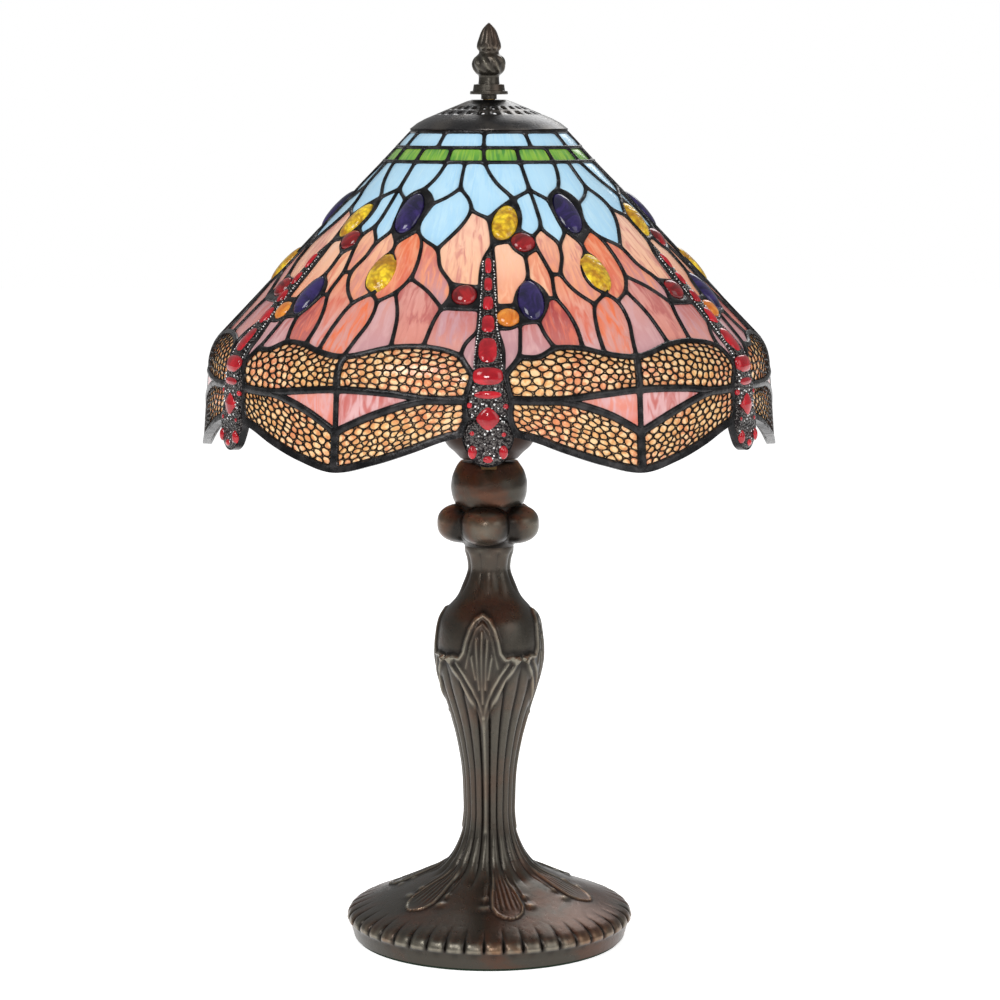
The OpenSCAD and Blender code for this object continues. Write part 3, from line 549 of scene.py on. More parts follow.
corners = [
    # 0 to 15: top edge, under the top ring, under the green band
    (-18, 1), (-3, 1), (12, 1), (27, 1),
    (-23, 12), (-13, 12), (-3, 12), (7, 12), (17, 12), (27, 12),
    (-23, 22), (-12.5, 22), (-2, 22), (7, 22), (17, 22), (27, 22),
    # 16 to 30: between the upper and the lower blue petals
    (-25, 32), (-29, 40.5), (-12.5, 33), (-12, 39.5), (-17, 46), (-22.5, 50.5), (-7.8, 47),
    (-6.5, 54), (0, 60), (3.5, 36), (10, 47), (17.8, 41), (17.5, 32), (24.8, 48), (27.5, 43),
    # 31 to 37: round the purple oval on the sector edge
    (-24.8, 44), (-24.5, 61.5), (-24, 68), (-28, 74), (-30, 77.5), (25, 57), (26.2, 68),
    # 38 to 47: tips of the lower blue petals
    (-8.5, 63), (-12.5, 73), (-15.6, 80.5), (-21.8, 73), (18.3, 54), (17.8, 66), (14.5, 72.5),
    (10, 67.5), (11.6, 56), (22.5, 78),
    # 48 to 54: round the tilted yellow oval and the red jewel
    (7, 75), (1.2, 77), (0.8, 69), (4.7, 52.5), (14.8, 80), (10.8, 84.5), (7.6, 80),
    # 55 to 65: both sides of the dragonfly's tail
    (-1.2, 86), (-2, 96), (-2, 105), (-2, 119), (-2.2, 132.5), (-2.6, 158), (1.6, 88),
    (1.8, 117), (1.9, 131), (3, 143), (3, 158),
    # 66 to 82: the upper pink petals and the yellow oval on the sector edge
    (-13.5, 92), (-9.6, 103), (-9.2, 110.5), (-10.8, 118.5), (-20.3, 87), (-20.8, 99.5),
    (-15.3, 107.5), (-23.5, 109), (-27.6, 115.5), (-30, 110), (-27.1, 95), (-30, 82.5),
    (-27.6, 104), (-27.8, 87.5), (27.8, 88), (26.4, 97), (27.6, 106),
    # 83 to 99: the middle pink petals, the purple oval and the amber jewel
    (26, 117), (21.8, 86), (19.8, 97), (22, 108), (17, 97), (16, 88.5), (4.6, 131.5),
    (13.2, 105), (10.2, 100), (14.4, 112.5), (16.6, 112), (13, 121), (11.2, 127), (6.9, 128.5),
    (7.6, 106.5), (6.3, 116.5), (18.2, 120),
    # 100 to 117: the long pink petals down to the top of the wings
    (19.4, 131), (19.4, 144), (13.5, 143.5), (12, 135), (24.2, 131), (23.7, 147.5),
    (-27.2, 128), (-28.6, 140), (-29.5, 150), (-21, 123), (-20, 143.5), (-12, 126),
    (-13.2, 142.5), (-4.6, 140.5), (-5.4, 148), (-4.2, 152.5), (6.6, 139), (6, 148.5),
    # 118 to 128: across the upper wings and along their lower edge
    (9.7, 149), (-12, 157), (-21, 157), (-30, 158.5), (12, 157), (21, 157), (-30, 167),
    (-18, 168), (-11.5, 170), (-4, 170), (4, 170),
    # 129 to 134: the wedges between the wings
    (13.5, 170.5), (22, 168.5), (-21.5, 177.5), (-30, 187), (23, 177.5), (-30, 207.5),
    # 135 to 149: the lower wings, the thorax and the head along the bottom edge
    (-22, 203), (-14.5, 196.5), (-8.5, 190.5), (-4.8, 188), (-3.8, 179), (3.8, 179),
    (4.8, 188), (8.5, 190.5), (14.5, 196.5), (22, 203), (-4.1, 194), (-2.6, 200), (0, 202.5),
    (2.6, 200), (4.1, 194),
]
N = following
# Each piece: its kind of glass, the corners round it, and its colours at the top, at the
# bottom and in its streaks.
pale_sky, sky, deep_sky = (186, 223, 242), (177, 218, 241), (168, 213, 240)
leaf_green, lime, moss = (118, 176, 60), (142, 184, 66), (78, 142, 60)
cream, warm_cream, peach = (248, 200, 172), (246, 188, 152), (236, 154, 118)
orange, salmon, blush = (232, 118, 76), (218, 116, 94), (216, 142, 128)
dusty, rose, deep_rose = (216, 152, 142), (190, 106, 100), (166, 62, 62)
lilac, mauve, grey_mauve = (212, 164, 164), (198, 148, 152), (178, 134, 140)
pieces = [
    ("top_ring", [1, 2, 3, 9, 8, 7, 6], pale_sky, sky, deep_sky),
    ("top_ring", [3, N, 1 + N, 6 + N, 5 + N, 4 + N, 9], sky, pale_sky, deep_sky),
    ("green_band", [4, 5, 6, 12, 11, 10], leaf_green, moss, lime),
    ("green_band", [6, 7, 8, 14, 13, 12], lime, leaf_green, moss),
    ("green_band", [8, 9, 4 + N, 10 + N, 15, 14], moss, leaf_green, lime),
    ("upper_sky", [10, 11, 18, 19, 20, 21, 31, 17, 16], sky, pale_sky, deep_sky),
    ("upper_sky", [11, 12, 25, 26, 51, 24, 23, 22, 19, 18], pale_sky, sky, deep_sky),
    ("upper_sky", [12, 13, 14, 28, 27, 26, 25], sky, pale_sky, deep_sky),
    ("upper_sky", [14, 15, 10 + N, 16 + N, 17 + N, 30, 29, 27, 28], sky, sky, pale_sky),
    ("lower_sky", [19, 22, 23, 38, 39, 40, 41, 33, 32, 21, 20], sky, deep_sky, pale_sky),
    ("lower_sky", [26, 27, 42, 43, 44, 45, 46], pale_sky, sky, deep_sky),
    ("lower_sky", [27, 29, 36, 37, 47, 43, 42], sky, pale_sky, deep_sky),
    ("purple", [17 + N, 31 + N, 21 + N, 32 + N, 33 + N, 34 + N, 35 + N, 37, 36, 29, 30]),
    ("yellow", [26, 46, 45, 48, 49, 50, 24, 51]),
    ("red", [45, 44, 52, 53, 54, 48]),
    ("cream", [23, 24, 50, 49, 55, 56, 57, 67, 66, 40, 39, 38], cream, warm_cream, blush),
    ("cream", [49, 48, 54, 53, 91, 97, 98, 62, 61], cream, peach, warm_cream),
    ("peach", [53, 52, 88, 87, 93, 92, 90, 91], peach, salmon, warm_cream),
    ("cream", [43, 47, 84, 85, 87, 88, 52, 44], warm_cream, peach, blush),
    ("cream", [37, 35 + N, 77 + N, 80, 81, 82, 75 + N, 83, 86, 85, 84, 47],
     warm_cream, peach, blush),
    ("peach", [33, 41, 70, 71, 73, 74, 75, 78, 76, 79, 77, 35, 34], orange, salmon, peach),
    ("peach", [41, 40, 66, 67, 68, 69, 72, 71, 70], salmon, mauve, peach),
    ("red", [67, 57, 58, 69, 68]),
    ("yellow", [77 + N, 79 + N, 76 + N, 78 + N, 75 + N, 82, 81, 80]),
    ("purple", [91, 90, 92, 94, 95, 96, 98, 97]),
    ("amber", [62, 98, 96, 89, 63]),
    ("rose", [71, 72, 69, 111, 112, 110, 109, 73], dusty, blush, rose),
    ("mauve", [74, 73, 109, 110, 108, 107, 106], dusty, mauve, lilac),
    ("rose", [83, 75 + N, 74 + N, 106 + N, 107 + N, 108 + N, 105, 104], blush, dusty, orange),
    ("cream", [87, 85, 86, 83, 104, 105, 101, 100, 99, 93], peach, lilac, salmon),
    ("rose", [92, 93, 99, 100, 101, 102, 103, 95, 94], deep_rose, rose, salmon),
    ("rose", [69, 58, 59, 113, 114, 112, 111], rose, dusty, mauve),
    ("mauve", [59, 60, 115, 114, 113], mauve, grey_mauve, lilac),
    ("mauve", [63, 89, 96, 116, 117, 65, 64], mauve, grey_mauve, lilac),
    ("mauve", [96, 95, 103, 102, 118, 117, 116], rose, mauve, lilac),
    ("upper_wing", [60, 127, 126, 125, 124, 121, 108, 110, 112, 114, 115]),
    ("upper_wing", [65, 117, 118, 102, 101, 105, 108 + N, 121 + N, 124 + N, 130, 129, 128]),
    ("wedge", [124, 125, 126, 131, 132], lilac, lilac, rose),
    ("wedge", [124 + N, 132 + N, 133, 129, 130], blush, salmon, lilac),
    ("lower_wing", [127, 126, 131, 132, 134, 135, 136, 137, 138, 139]),
    ("lower_wing", [128, 140, 141, 142, 143, 144, 134 + N, 132 + N, 133, 129]),
    ("body", [49, 61, 62, 58, 57, 56, 55]),
    ("body", [58, 62, 63, 59]),
    ("body", [59, 63, 64, 65, 60]),
    ("body", [60, 65, 128, 140, 139, 127]),
    ("body", [139, 140, 141, 149, 148, 147, 146, 145, 138]),
]
jewel_shapes = {           # centre [degrees, mm down], half width, half length, tilt in degrees
    12: (30.0, 57.0, 6.3, 13.0, 0.0), 13: (5.7, 63.0, 6.0, 11.5, 14.0),
    14: (10.7, 76.0, 6.0, 6.0, 0.0), 22: (-5.8, 110.0, 6.0, 6.0, 0.0),
    23: (30.0, 97.0, 7.0, 12.5, 0.0), 24: (10.2, 113.5, 6.2, 12.5, 0.0),
    25: (4.5, 124.5, 5.5, 5.5, 0.0),
}


def down_slope(s):
    """Radius, height and steepness of the shade's middle at distances down the slope."""
    s = np.asarray(s, float)
    on_cone = np.minimum(s, cone_length)
    steep = np.clip(cone_slope + (s - cone_length) / bend_r, cone_slope, skirt_slope)
    bend_length = bend_r * (skirt_slope - cone_slope)
    on_skirt = np.maximum(0.0, s - cone_length - bend_length)
    r = (shade_top_r + on_cone * np.cos(cone_slope) + on_skirt * np.cos(skirt_slope)
         + bend_r * (np.sin(steep) - np.sin(cone_slope)))
    z = (shade_top_z - on_cone * np.sin(cone_slope) - on_skirt * np.sin(skirt_slope)
         - bend_r * (np.cos(cone_slope) - np.cos(steep)))
    return r, z, steep


def on_shade(turn, s, lift):
    """Points in metres, lifted off the shade's middle in millimetres."""
    r, z, steep = down_slope(s)
    r = r + lift * np.sin(steep)
    a = np.radians(turn)
    return np.stack([r * np.sin(a), -r * np.cos(a), z + lift * np.cos(steep)], -1) * MM


def per_degree(s):
    """Millimetres round the shade in one degree."""
    return down_slope(s)[0] * math.pi / 180.0


def corner_at(number):
    turn, s = corners[number % following]
    return np.array([turn + sector_angle * (number // following), s], float)


def neighbours_of():
    """For each corner, the corners that a joint runs to, as (number, sectors on)."""
    found = {}
    for piece in pieces:
        ids = piece[1]
        for a, b in zip(ids, ids[1:] + ids[:1]):
            for here, there in ((a, b), (b, a)):
                on = there // following - here // following
                found.setdefault(here % following, set()).add((there % following, on))
    return found


joined_to = neighbours_of()


def way_through(here, there):
    """Direction of the joint at corner here as it sets off to there, smooth where it can be."""
    at, to = corner_at(here), corner_at(there)
    k = per_degree(at[1])
    ahead = (to - at) * (k, 1.0)
    best, bend = None, -0.72
    for number, on in joined_to[here % following]:
        other = number + following * on + following * (here // following)
        if other == there:
            continue
        turn, s = corners[number]
        place = np.array([turn + sector_angle * (on + here // following), s])
        back = (place - at) * (k, 1.0)
        straight = back @ ahead / (np.linalg.norm(back) * np.linalg.norm(ahead))
        if straight < bend:
            best, bend = back, straight
    if best is None:
        return ahead / (k, 1.0)
    reach = np.linalg.norm(ahead)
    way = ahead / reach - best / np.linalg.norm(best)
    return way / np.linalg.norm(way) * reach / (k, 1.0)


def joint_points(a, b, spacing):
    """Points along the joint from one corner up to the next one."""
    start, end = corner_at(a), corner_at(b)
    k = per_degree((start[1] + end[1]) / 2)
    length = np.linalg.norm((end - start) * (k, 1.0))
    count = max(2, int(math.ceil(length / spacing)))
    out, back = way_through(a, b), -way_through(b, a)
    t = (np.arange(count) / count)[:, None]
    return ((2 * t ** 3 - 3 * t ** 2 + 1) * start + (t ** 3 - 2 * t ** 2 + t) * out
            + (3 * t ** 2 - 2 * t ** 3) * end + (t ** 3 - t ** 2) * back)


def loop_of(ids, spacing):
    """A piece's whole outline as [degrees, mm down], going one way round."""
    points = np.vstack([joint_points(a, b, spacing) for a, b in zip(ids, ids[1:] + ids[:1])])
    x, y = points.T
    area = np.sum(x * np.roll(y, -1) - np.roll(x, -1) * y)
    return points if area > 0 else points[::-1]


def moved_in(loop, distance, rounding):
    """The outline moved into its piece, with its sharp corners rounded off."""
    k = per_degree(loop[:, 1].mean())
    flat = loop * (k, 1.0)
    ahead = np.roll(flat, -1, 0) - flat
    ahead /= np.maximum(np.linalg.norm(ahead, axis=1), 1e-6)[:, None]
    behind = np.roll(ahead, 1, 0)
    side = np.stack([-(ahead + behind)[:, 1], (ahead + behind)[:, 0]], 1)
    spread = np.maximum(0.45, 1.0 + np.sum(ahead * behind, 1))
    inner = flat + side * (distance / spread)[:, None]
    for _ in range(rounding):
        inner = inner * 0.5 + (np.roll(inner, 1, 0) + np.roll(inner, -1, 0)) * 0.25
    return inner / (k, 1.0)


def oval_round(loop, shape, grow=0.0):
    """A jewel's oval outline, one point for each point of the joint round it."""
    turn, s, half_long, half_high, tilt = shape
    k = per_degree(s)
    flat = (loop - (turn, s)) * (k, 1.0)
    c, q = math.cos(math.radians(tilt)), math.sin(math.radians(tilt))
    along = flat[:, 0] * c + flat[:, 1] * q
    across = -flat[:, 0] * q + flat[:, 1] * c
    angle = np.unwrap(np.arctan2(across / half_high, along / half_long))
    even = np.linspace(angle[0], angle[0] + 2 * math.pi, len(loop), endpoint=False)
    angle = angle * 0.4 + even * 0.6
    along = (half_long + grow) * np.cos(angle)
    across = (half_high + grow) * np.sin(angle)
    return np.stack([along * c - across * q, along * q + across * c], 1) / (k, 1.0) + (turn, s)


# ---- Shade: soldered joints ----------------------------------------------------------
# Copper foil and lead-tin solder, run as a round bead along every joint on both sides and
# blackened. It stands proud of the glass and pools where several joints meet.
joint_spacing = 1.9
plain_joint_half, corner_rounding = 1.05, 3
joint_half = {"upper_wing": 2.2, "lower_wing": 2.5, "wedge": 1.6, "body": 1.0}
bead_rows = ((0.0, 2.05), (0.45, 1.9), (0.8, 1.5), (1.0, 0.95))
wing_kinds = ("upper_wing", "lower_wing", "wedge")
rim_corners = (134, 135, 136, 137, 138, 141, 142, 143, 144)
rim_wider = 1.5


def rim_extra(number, loop):
    """How much wider the joint is along the free lower edge of a lower wing."""
    rim = [corner_at(i) for i in pieces[number][1] if i % following in rim_corners]
    if pieces[number][0] != "lower_wing":
        return 0.0
    k = per_degree(rim[0][1])
    near = distance_to(loop[:, 0] * k, loop[:, 1], [(c[0] * k, c[1]) for c in rim])
    return rim_wider * (1.0 - ease(1.0, 3.5, near))


def inner_outline(number, loop, tuck=0.0):
    kind = pieces[number][0]
    if number in jewel_shapes:
        return oval_round(loop, jewel_shapes[number], tuck)
    half = joint_half.get(kind, plain_joint_half) + rim_extra(number, loop)
    return moved_in(loop, half - tuck, corner_rounding)


loops = [loop_of(piece[1], joint_spacing) for piece in pieces]


def solder_sector(numbers):
    """One sixth of the solder round the chosen pieces, front, back and edges."""
    points, faces, first = [], [], 0
    edge_uses = {}
    levels = list(bead_rows) + [(t, -h) for t, h in reversed(bead_rows)]
    for number in numbers:
        loop = loops[number]
        inner = inner_outline(number, loop)
        around = len(loop)
        for t, lift in levels:
            ring = loop * (1 - t) + inner * t
            points.append(on_shade(ring[:, 0], ring[:, 1], lift))
        faces += ring_faces(len(levels), around, first)
        last = first + (len(levels) - 1) * around
        for i in range(around):
            j = (i + 1) % around
            mid = ((loop[i] + loop[j]) / 2).round(3)
            key = (round(float(mid[0]) % sector_angle, 2), round(float(mid[1]), 2))
            edge_uses.setdefault(key, []).append((first + i, first + j, last + j, last + i))
        first = last + around
    faces += [uses[0] for uses in edge_uses.values() if len(uses) == 1]
    return np.vstack(points), faces


def round_the_shade(name, points, faces, finish, body, replaced, values=None, merge=2e-5):
    """Repeats one sixth of the shade all the way round and makes it one plain mesh."""
    part = made_object(name, points, faces, finish, None, None, (), values)
    modifier = part.modifiers.new("six_round", "NODES")
    modifier.node_group = six_round_tree()
    sockets = {item.name: item.identifier for item in modifier.node_group.interface.items_tree
               if item.item_type == "SOCKET" and item.in_out == "INPUT"}
    modifier[sockets["Count"]] = sectors
    modifier[sockets["Merge Distance"]] = merge
    modifier[sockets["Material"]] = finish.material
    make_plain(part)
    tidy_mesh(part.data)
    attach(part, body)
    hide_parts(*replaced)
    return part


def make_plain(part):
    """Turns what an object's modifiers make into its own plain mesh."""
    bpy.context.view_layer.update()
    seen = part.evaluated_get(bpy.context.evaluated_depsgraph_get())
    mesh = bpy.data.meshes.new_from_object(seen)
    part.modifiers.clear()
    old = part.data
    part.data = mesh
    bpy.data.meshes.remove(old)
    mesh.name = part.name


def six_round_tree():
    """Geometry nodes: the same piece at each sixth of a turn, numbered and joined."""
    if "Round the shade" in bpy.data.node_groups:
        return bpy.data.node_groups["Round the shade"]
    tree = bpy.data.node_groups.new("Round the shade", "GeometryNodeTree")
    face = tree.interface
    face.new_socket("Geometry", in_out="INPUT", socket_type="NodeSocketGeometry")
    face.new_socket("Count", in_out="INPUT", socket_type="NodeSocketInt")
    face.new_socket("Merge Distance", in_out="INPUT", socket_type="NodeSocketFloat")
    face.new_socket("Material", in_out="INPUT", socket_type="NodeSocketMaterial")
    face.new_socket("Geometry", in_out="OUTPUT", socket_type="NodeSocketGeometry")

    def add(kind, settings=None, sockets=None):
        made = tree.nodes.new(kind)
        for key, value in (settings or {}).items():
            setattr(made, key, value)
        for key, value in (sockets or {}).items():
            if isinstance(value, bpy.types.NodeSocket):
                tree.links.new(value, made.inputs[key])
            else:
                made.inputs[key].default_value = value
        return made

    given = add("NodeGroupInput").outputs
    row = add("GeometryNodeMeshLine", {}, {"Count": given["Count"], "Offset": (0.0, 0.0, 0.0)})
    index = add("GeometryNodeInputIndex").outputs[0]
    share = add("ShaderNodeMath", {"operation": "DIVIDE"}, {0: index, 1: given["Count"]})
    turn = add("ShaderNodeMath", {"operation": "MULTIPLY"},
               {0: share.outputs[0], 1: 2.0 * math.pi})
    rotation = add("ShaderNodeCombineXYZ", {}, {"Z": turn.outputs[0]})
    copies = add("GeometryNodeInstanceOnPoints", {},
                 {"Points": row.outputs[0], "Instance": given["Geometry"],
                  "Rotation": rotation.outputs[0]})
    numbered = add("GeometryNodeStoreNamedAttribute",
                   {"data_type": "FLOAT", "domain": "INSTANCE"},
                   {"Geometry": copies.outputs[0], "Name": "sector", "Value": index})
    real = add("GeometryNodeRealizeInstances", {}, {0: numbered.outputs[0]})
    merged = add("GeometryNodeMergeByDistance", {},
                 {"Geometry": real.outputs[0], "Distance": given["Merge Distance"]})
    painted = add("GeometryNodeSetMaterial", {},
                  {"Geometry": merged.outputs[0], "Material": given["Material"]})
    add("NodeGroupOutput", {}, {0: painted.outputs[0]})
    return tree


solder = Finish("blackened_solder", Metallic=0.45, Specular_IOR_Level=0.35)
lumps = solder.noise(solder.place(), 160.0, 3.0, 0.5)
fine = solder.noise(solder.place(), 900.0, 3.0, 0.6)
solder.set(Base_Color=solder.mix(lumps.ramp(0.4, 0.7), tone(20, 20, 22), tone(52, 50, 51)),
           Roughness=fine * 0.15 + 0.17)
solder.bump(lumps + fine * 0.2, 0.0009, 0.7)


def numbers_of(*kinds):
    """The numbers of the pieces that are of these kinds."""
    return [i for i, piece in enumerate(pieces) if piece[0] in kinds]


wing_numbers, body_numbers = numbers_of(*wing_kinds), numbers_of("body")
upper_numbers = [i for i in range(len(pieces)) if i not in wing_numbers + body_numbers]
tail_numbers, thorax_numbers = body_numbers[:3], body_numbers[3:]
for solder_name, chosen in (("upper_solder", upper_numbers + tail_numbers),
                            ("skirt_solder", wing_numbers + thorax_numbers)):
    bead_points, bead_faces = solder_sector(chosen)
    round_the_shade(solder_name + "_bead", bead_points, bead_faces, solder, "shade",
                    [solder_name])

# ---- Shade: glass petals -------------------------------------------------------------
# Hand-cut opalescent glass, rolled with streaks of a second colour that run down the
# slope. Each pane is a flat slab tucked under the solder, with a soft, fire-polished face.
pane_lift, pane_swell, pane_tuck, pane_grid = 0.75, 0.35, 0.35, 3.6
swell_reach = 3.0
sheet_at, sheet_step = 120.0, 31.0


def pane_mesh(number):
    """A pane as points, faces and the unrolled places of its points, closed front to back."""
    outline = inner_outline(number, loops[number], pane_tuck)
    k = per_degree(outline[:, 1].mean())
    verts, tris, away = filled(outline * (k, 1.0), pane_grid, pane_grid * 0.45)
    swell = pane_swell * np.sqrt(np.clip(away / swell_reach, 0.0, 1.0))
    places = verts / (k, 1.0)
    points, faces = slab(on_shade(places[:, 0], places[:, 1], pane_lift + swell),
                         on_shade(places[:, 0], places[:, 1], -pane_lift - swell * 0.6), tris)
    return points, faces, np.vstack([places, places])


def filled(flat, step, clear):
    """Triangles over a flat outline and a grid in it: points, triangles, edge distances."""
    low, high = flat.min(0), flat.max(0)
    grid = np.array([(x, y) for x in np.arange(low[0] + step / 2, high[0], step)
                     for y in np.arange(low[1] + step / 2, high[1], step)]).reshape(-1, 2)
    grid = grid[edge_distance(grid, flat) > clear]
    count = len(flat)
    border = [(i, (i + 1) % count) for i in range(count)]
    found = delaunay_2d_cdt([Vector(p) for p in np.vstack([flat, grid])], border,
                            [list(range(count))], 1, 1e-5)
    verts = np.array([tuple(v) for v in found[0]])
    return verts, [tuple(f) for f in found[2]], np.maximum(edge_distance(verts, flat), 0.0)


def slab(front, back, tris):
    """The same triangles in front and behind, with walls round the outside."""
    n = len(front)
    edges = dict.fromkeys(e for a, b, c in tris for e in ((a, b), (b, c), (c, a)))
    walls = [(a, b, b + n, a + n) for a, b in edges if (b, a) not in edges]
    return np.vstack([front, back]), tris + [(c + n, b + n, a + n) for a, b, c in tris] + walls


def edge_distance(points, outline):
    """Distance from points to an outline, negative outside it."""
    ahead = np.roll(outline, -1, 0) - outline
    apart = points[:, None] - outline[None]
    t = np.clip(np.sum(apart * ahead, 2) / np.maximum(np.sum(ahead * ahead, 1), 1e-9), 0, 1)
    near = np.linalg.norm(apart - t[..., None] * ahead, axis=2).min(1)
    x0, y0 = outline.T
    x1, y1 = np.roll(outline, -1, 0).T
    px, py = points[:, 0:1], points[:, 1:2]
    crosses = ((y0 > py) != (y1 > py)) & (
        px < (x1 - x0) * (py - y0) / np.where(y1 == y0, 1e-9, y1 - y0) + x0)
    return np.where(crosses.sum(1) % 2 == 1, near, -near)


def gathered(parts):
    """Several meshes as one: points, faces and each further list of values."""
    points, faces, others, count = [], [], [], 0
    for part in parts:
        points.append(part[0])
        faces += [tuple(i + count for i in face) for face in part[1]]
        others.append(part[2:])
        count += len(part[0])
    return np.vstack(points), faces, [np.concatenate(o) for o in zip(*others)]


def opal_glass(name, painted_glow=0.1, roughness=0.16):
    """Streaky opalescent glass, coloured by the pane's own tints, which also shines faintly as
    painted light.
    """
    made = Finish(name, Roughness=roughness, Coat_Weight=0.2, Coat_Roughness=0.08,
                  Emission_Strength=painted_glow, Specular_IOR_Level=0.3)
    lay = made.node("ShaderNodeVectorMath", {"operation": "MULTIPLY_ADD"},
                    {0: made.attribute("sector", "Vector"), 1: (7.3, 3.1, 0.0),
                     2: made.attribute("lay", "Vector")})
    wisps = made.noise(made.stretched(lay, (1.0, 0.22, 1.0)), 0.24, 3.0, 0.5, 1.0)
    fine = made.noise(made.stretched(lay, (1.0, 0.2, 1.0)), 0.6, 3.0, 0.5, 0.6)
    clouds = made.noise(lay, 0.07, 3.0, 0.5, 0.6)
    colour = made.mix(wisps.ramp(0.42, 0.68), made.attribute("tint", "Color"),
                      made.attribute("streak", "Color"))
    colour = made.mix(fine.ramp(0.5, 0.8) * 0.1, colour, tone(255, 246, 236))
    colour = made.mix(clouds.ramp(0.5, 0.75) * 0.3, colour, made.attribute("streak", "Color"))
    # The colour is also emitted faintly: painted light standing in for light through the glass.
    made.set(Base_Color=colour, Emission_Color=colour)
    made.bump(fine * 0.2 + wisps, 0.0004, 0.35)
    return made


def petals_of(kind):
    """All of one sector's panes of one kind, with their tints."""
    parts = []
    for number in numbers_of(kind):
        points, faces, places = pane_mesh(number)
        share = ease(loops[number][:, 1].min(), loops[number][:, 1].max(), places[:, 1])
        top, low, streak = (np.array(tone(*c)) for c in pieces[number][2:5])
        tint = top * (1 - share[:, None]) + low * share[:, None]
        lay = np.stack([places[:, 0] * per_degree(sheet_at) + number * sheet_step, places[:, 1],
                        np.zeros(len(places)), np.ones(len(places))], 1)
        parts.append((points, faces, tint, np.tile(streak, (len(points), 1)), lay))
    return gathered(parts)


for glass_kind, glass_slot in (
        ("top_ring", "sky_glass"), ("green_band", "green_glass"), ("upper_sky", "sky_glass"),
        ("lower_sky", "sky_glass"), ("cream", "cream_glass"), ("peach", "peach_glass"),
        ("rose", "rose_glass"), ("mauve", "mauve_glass"), ("wedge", "wedge_glass")):
    pane_points, pane_faces, (tints, streaks, lays) = petals_of(glass_kind)
    round_the_shade(glass_kind + "_panes", pane_points, pane_faces,
                    opal_glass(glass_kind + "_opal"), "shade",
                    [glass_kind + "_glass"],
                    {"tint": tints, "streak": streaks, "lay": lays})

# ---- Shade: jewels -------------------------------------------------------------------
# Pressed glass cabochons, foiled and soldered like the petals: smooth purple, red and
# amber ones, and yellow ones with a hammered face.
jewel_foot, jewel_edge = 1.0, 0.8


def jewel_mesh(number, height):
    """A domed oval with a flat back and a short upright edge."""
    loop = loops[number]
    turn, s = jewel_shapes[number][:2]
    outline = oval_round(loop, jewel_shapes[number], 0.3)
    levels = [(1.0, -jewel_foot)]
    levels += [(math.sin(a), jewel_edge + height * math.cos(a))
               for a in np.radians(np.linspace(90, 6, 9))]
    points = []
    n = len(outline)
    for share, lift in levels:
        ring = (outline - (turn, s)) * share + (turn, s)
        points.append(on_shade(ring[:, 0], ring[:, 1], lift))
    faces = ring_faces(len(levels), n)
    last, back, crown = (len(levels) - 1) * n, len(levels) * n, len(levels) * n + 1
    points.append(on_shade(np.array([turn, turn]), np.array([s, s]),
                           np.array([-jewel_foot, jewel_edge + height])))
    faces += [(i, (i + 1) % n, back) for i in range(n)]
    faces += [(last + (i + 1) % n, last + i, crown) for i in range(n)]
    return np.vstack(points), faces


def jewel_glass(name, deep, bright, hammer, painted_glow):
    made = Finish(name, Roughness=0.08, Coat_Weight=0.25, Coat_Roughness=0.03,
                  Emission_Strength=painted_glow, Specular_IOR_Level=0.4)
    at = made.place()
    swirl = made.noise(at, 70.0, 4.0, 0.6, 1.5)
    colour = made.mix(swirl.ramp(0.35, 0.7), tone(*deep), tone(*bright))
    if hammer:
        dents = made.node("ShaderNodeTexVoronoi", {"feature": "SMOOTH_F1"},
                          {"Vector": at, "Scale": 480.0, "Smoothness": 0.5})
        colour = made.mix(dents.ramp(0.3, 0.8) * 0.5, colour, tone(*[c * 0.7 for c in deep]))
        made.bump(dents, -0.0005, 0.8)
    else:
        made.bump(swirl, 0.0003, 0.4)
    # The colour is also emitted faintly: painted light standing in for light through the stone.
    made.set(Base_Color=colour, Emission_Color=colour)
    return made


for jewel_kind, dome, glass in (
        ("purple", 3.4, jewel_glass("purple_cabochon", (20, 17, 52), (54, 38, 104), False, 0.04)),
        ("yellow", 3.2, jewel_glass("yellow_hammered", (176, 122, 18), (255, 222, 44), True, 0.14)),
        ("red", 3.0, jewel_glass("red_cabochon", (92, 10, 16), (168, 30, 34), False, 0.08)),
        ("amber", 2.8, jewel_glass("amber_cabochon", (190, 96, 24), (236, 156, 60), False, 0.12))):
    jewel_points, jewel_faces, _ = gathered(
        [jewel_mesh(i, dome) for i in numbers_of(jewel_kind)])
    round_the_shade(jewel_kind + "_stones", jewel_points, jewel_faces, glass, "shade",
                    [jewel_kind + "_jewels"])

# ---- Shade: wings --------------------------------------------------------------------
# Mottled amber glass under a net of etched brass, blackened like the solder. The cells
# are round and small in the upper wings and long in the lower ones.


def wing_glass(name):
    made = Finish(name, Roughness=0.2, Coat_Weight=0.3, Emission_Strength=0.1)
    at = made.place()
    patch = made.noise(at, 300.0, 3.0, 0.6)
    cloud = made.noise(at, 45.0, 3.0, 0.55)
    warm = made.mix(cloud.ramp(0.4, 0.62), tone(232, 178, 114), tone(230, 148, 104))
    colour = made.mix(patch.ramp(0.46, 0.62), warm, tone(244, 206, 156))
    colour = made.mix(patch.ramp(0.52, 0.32) * 0.6, colour, tone(204, 120, 74))
    # The colour is also emitted faintly: painted light standing in for light through the wing.
    made.set(Base_Color=colour, Emission_Color=colour)
    made.bump(patch, 0.0003, 0.5)
    return made


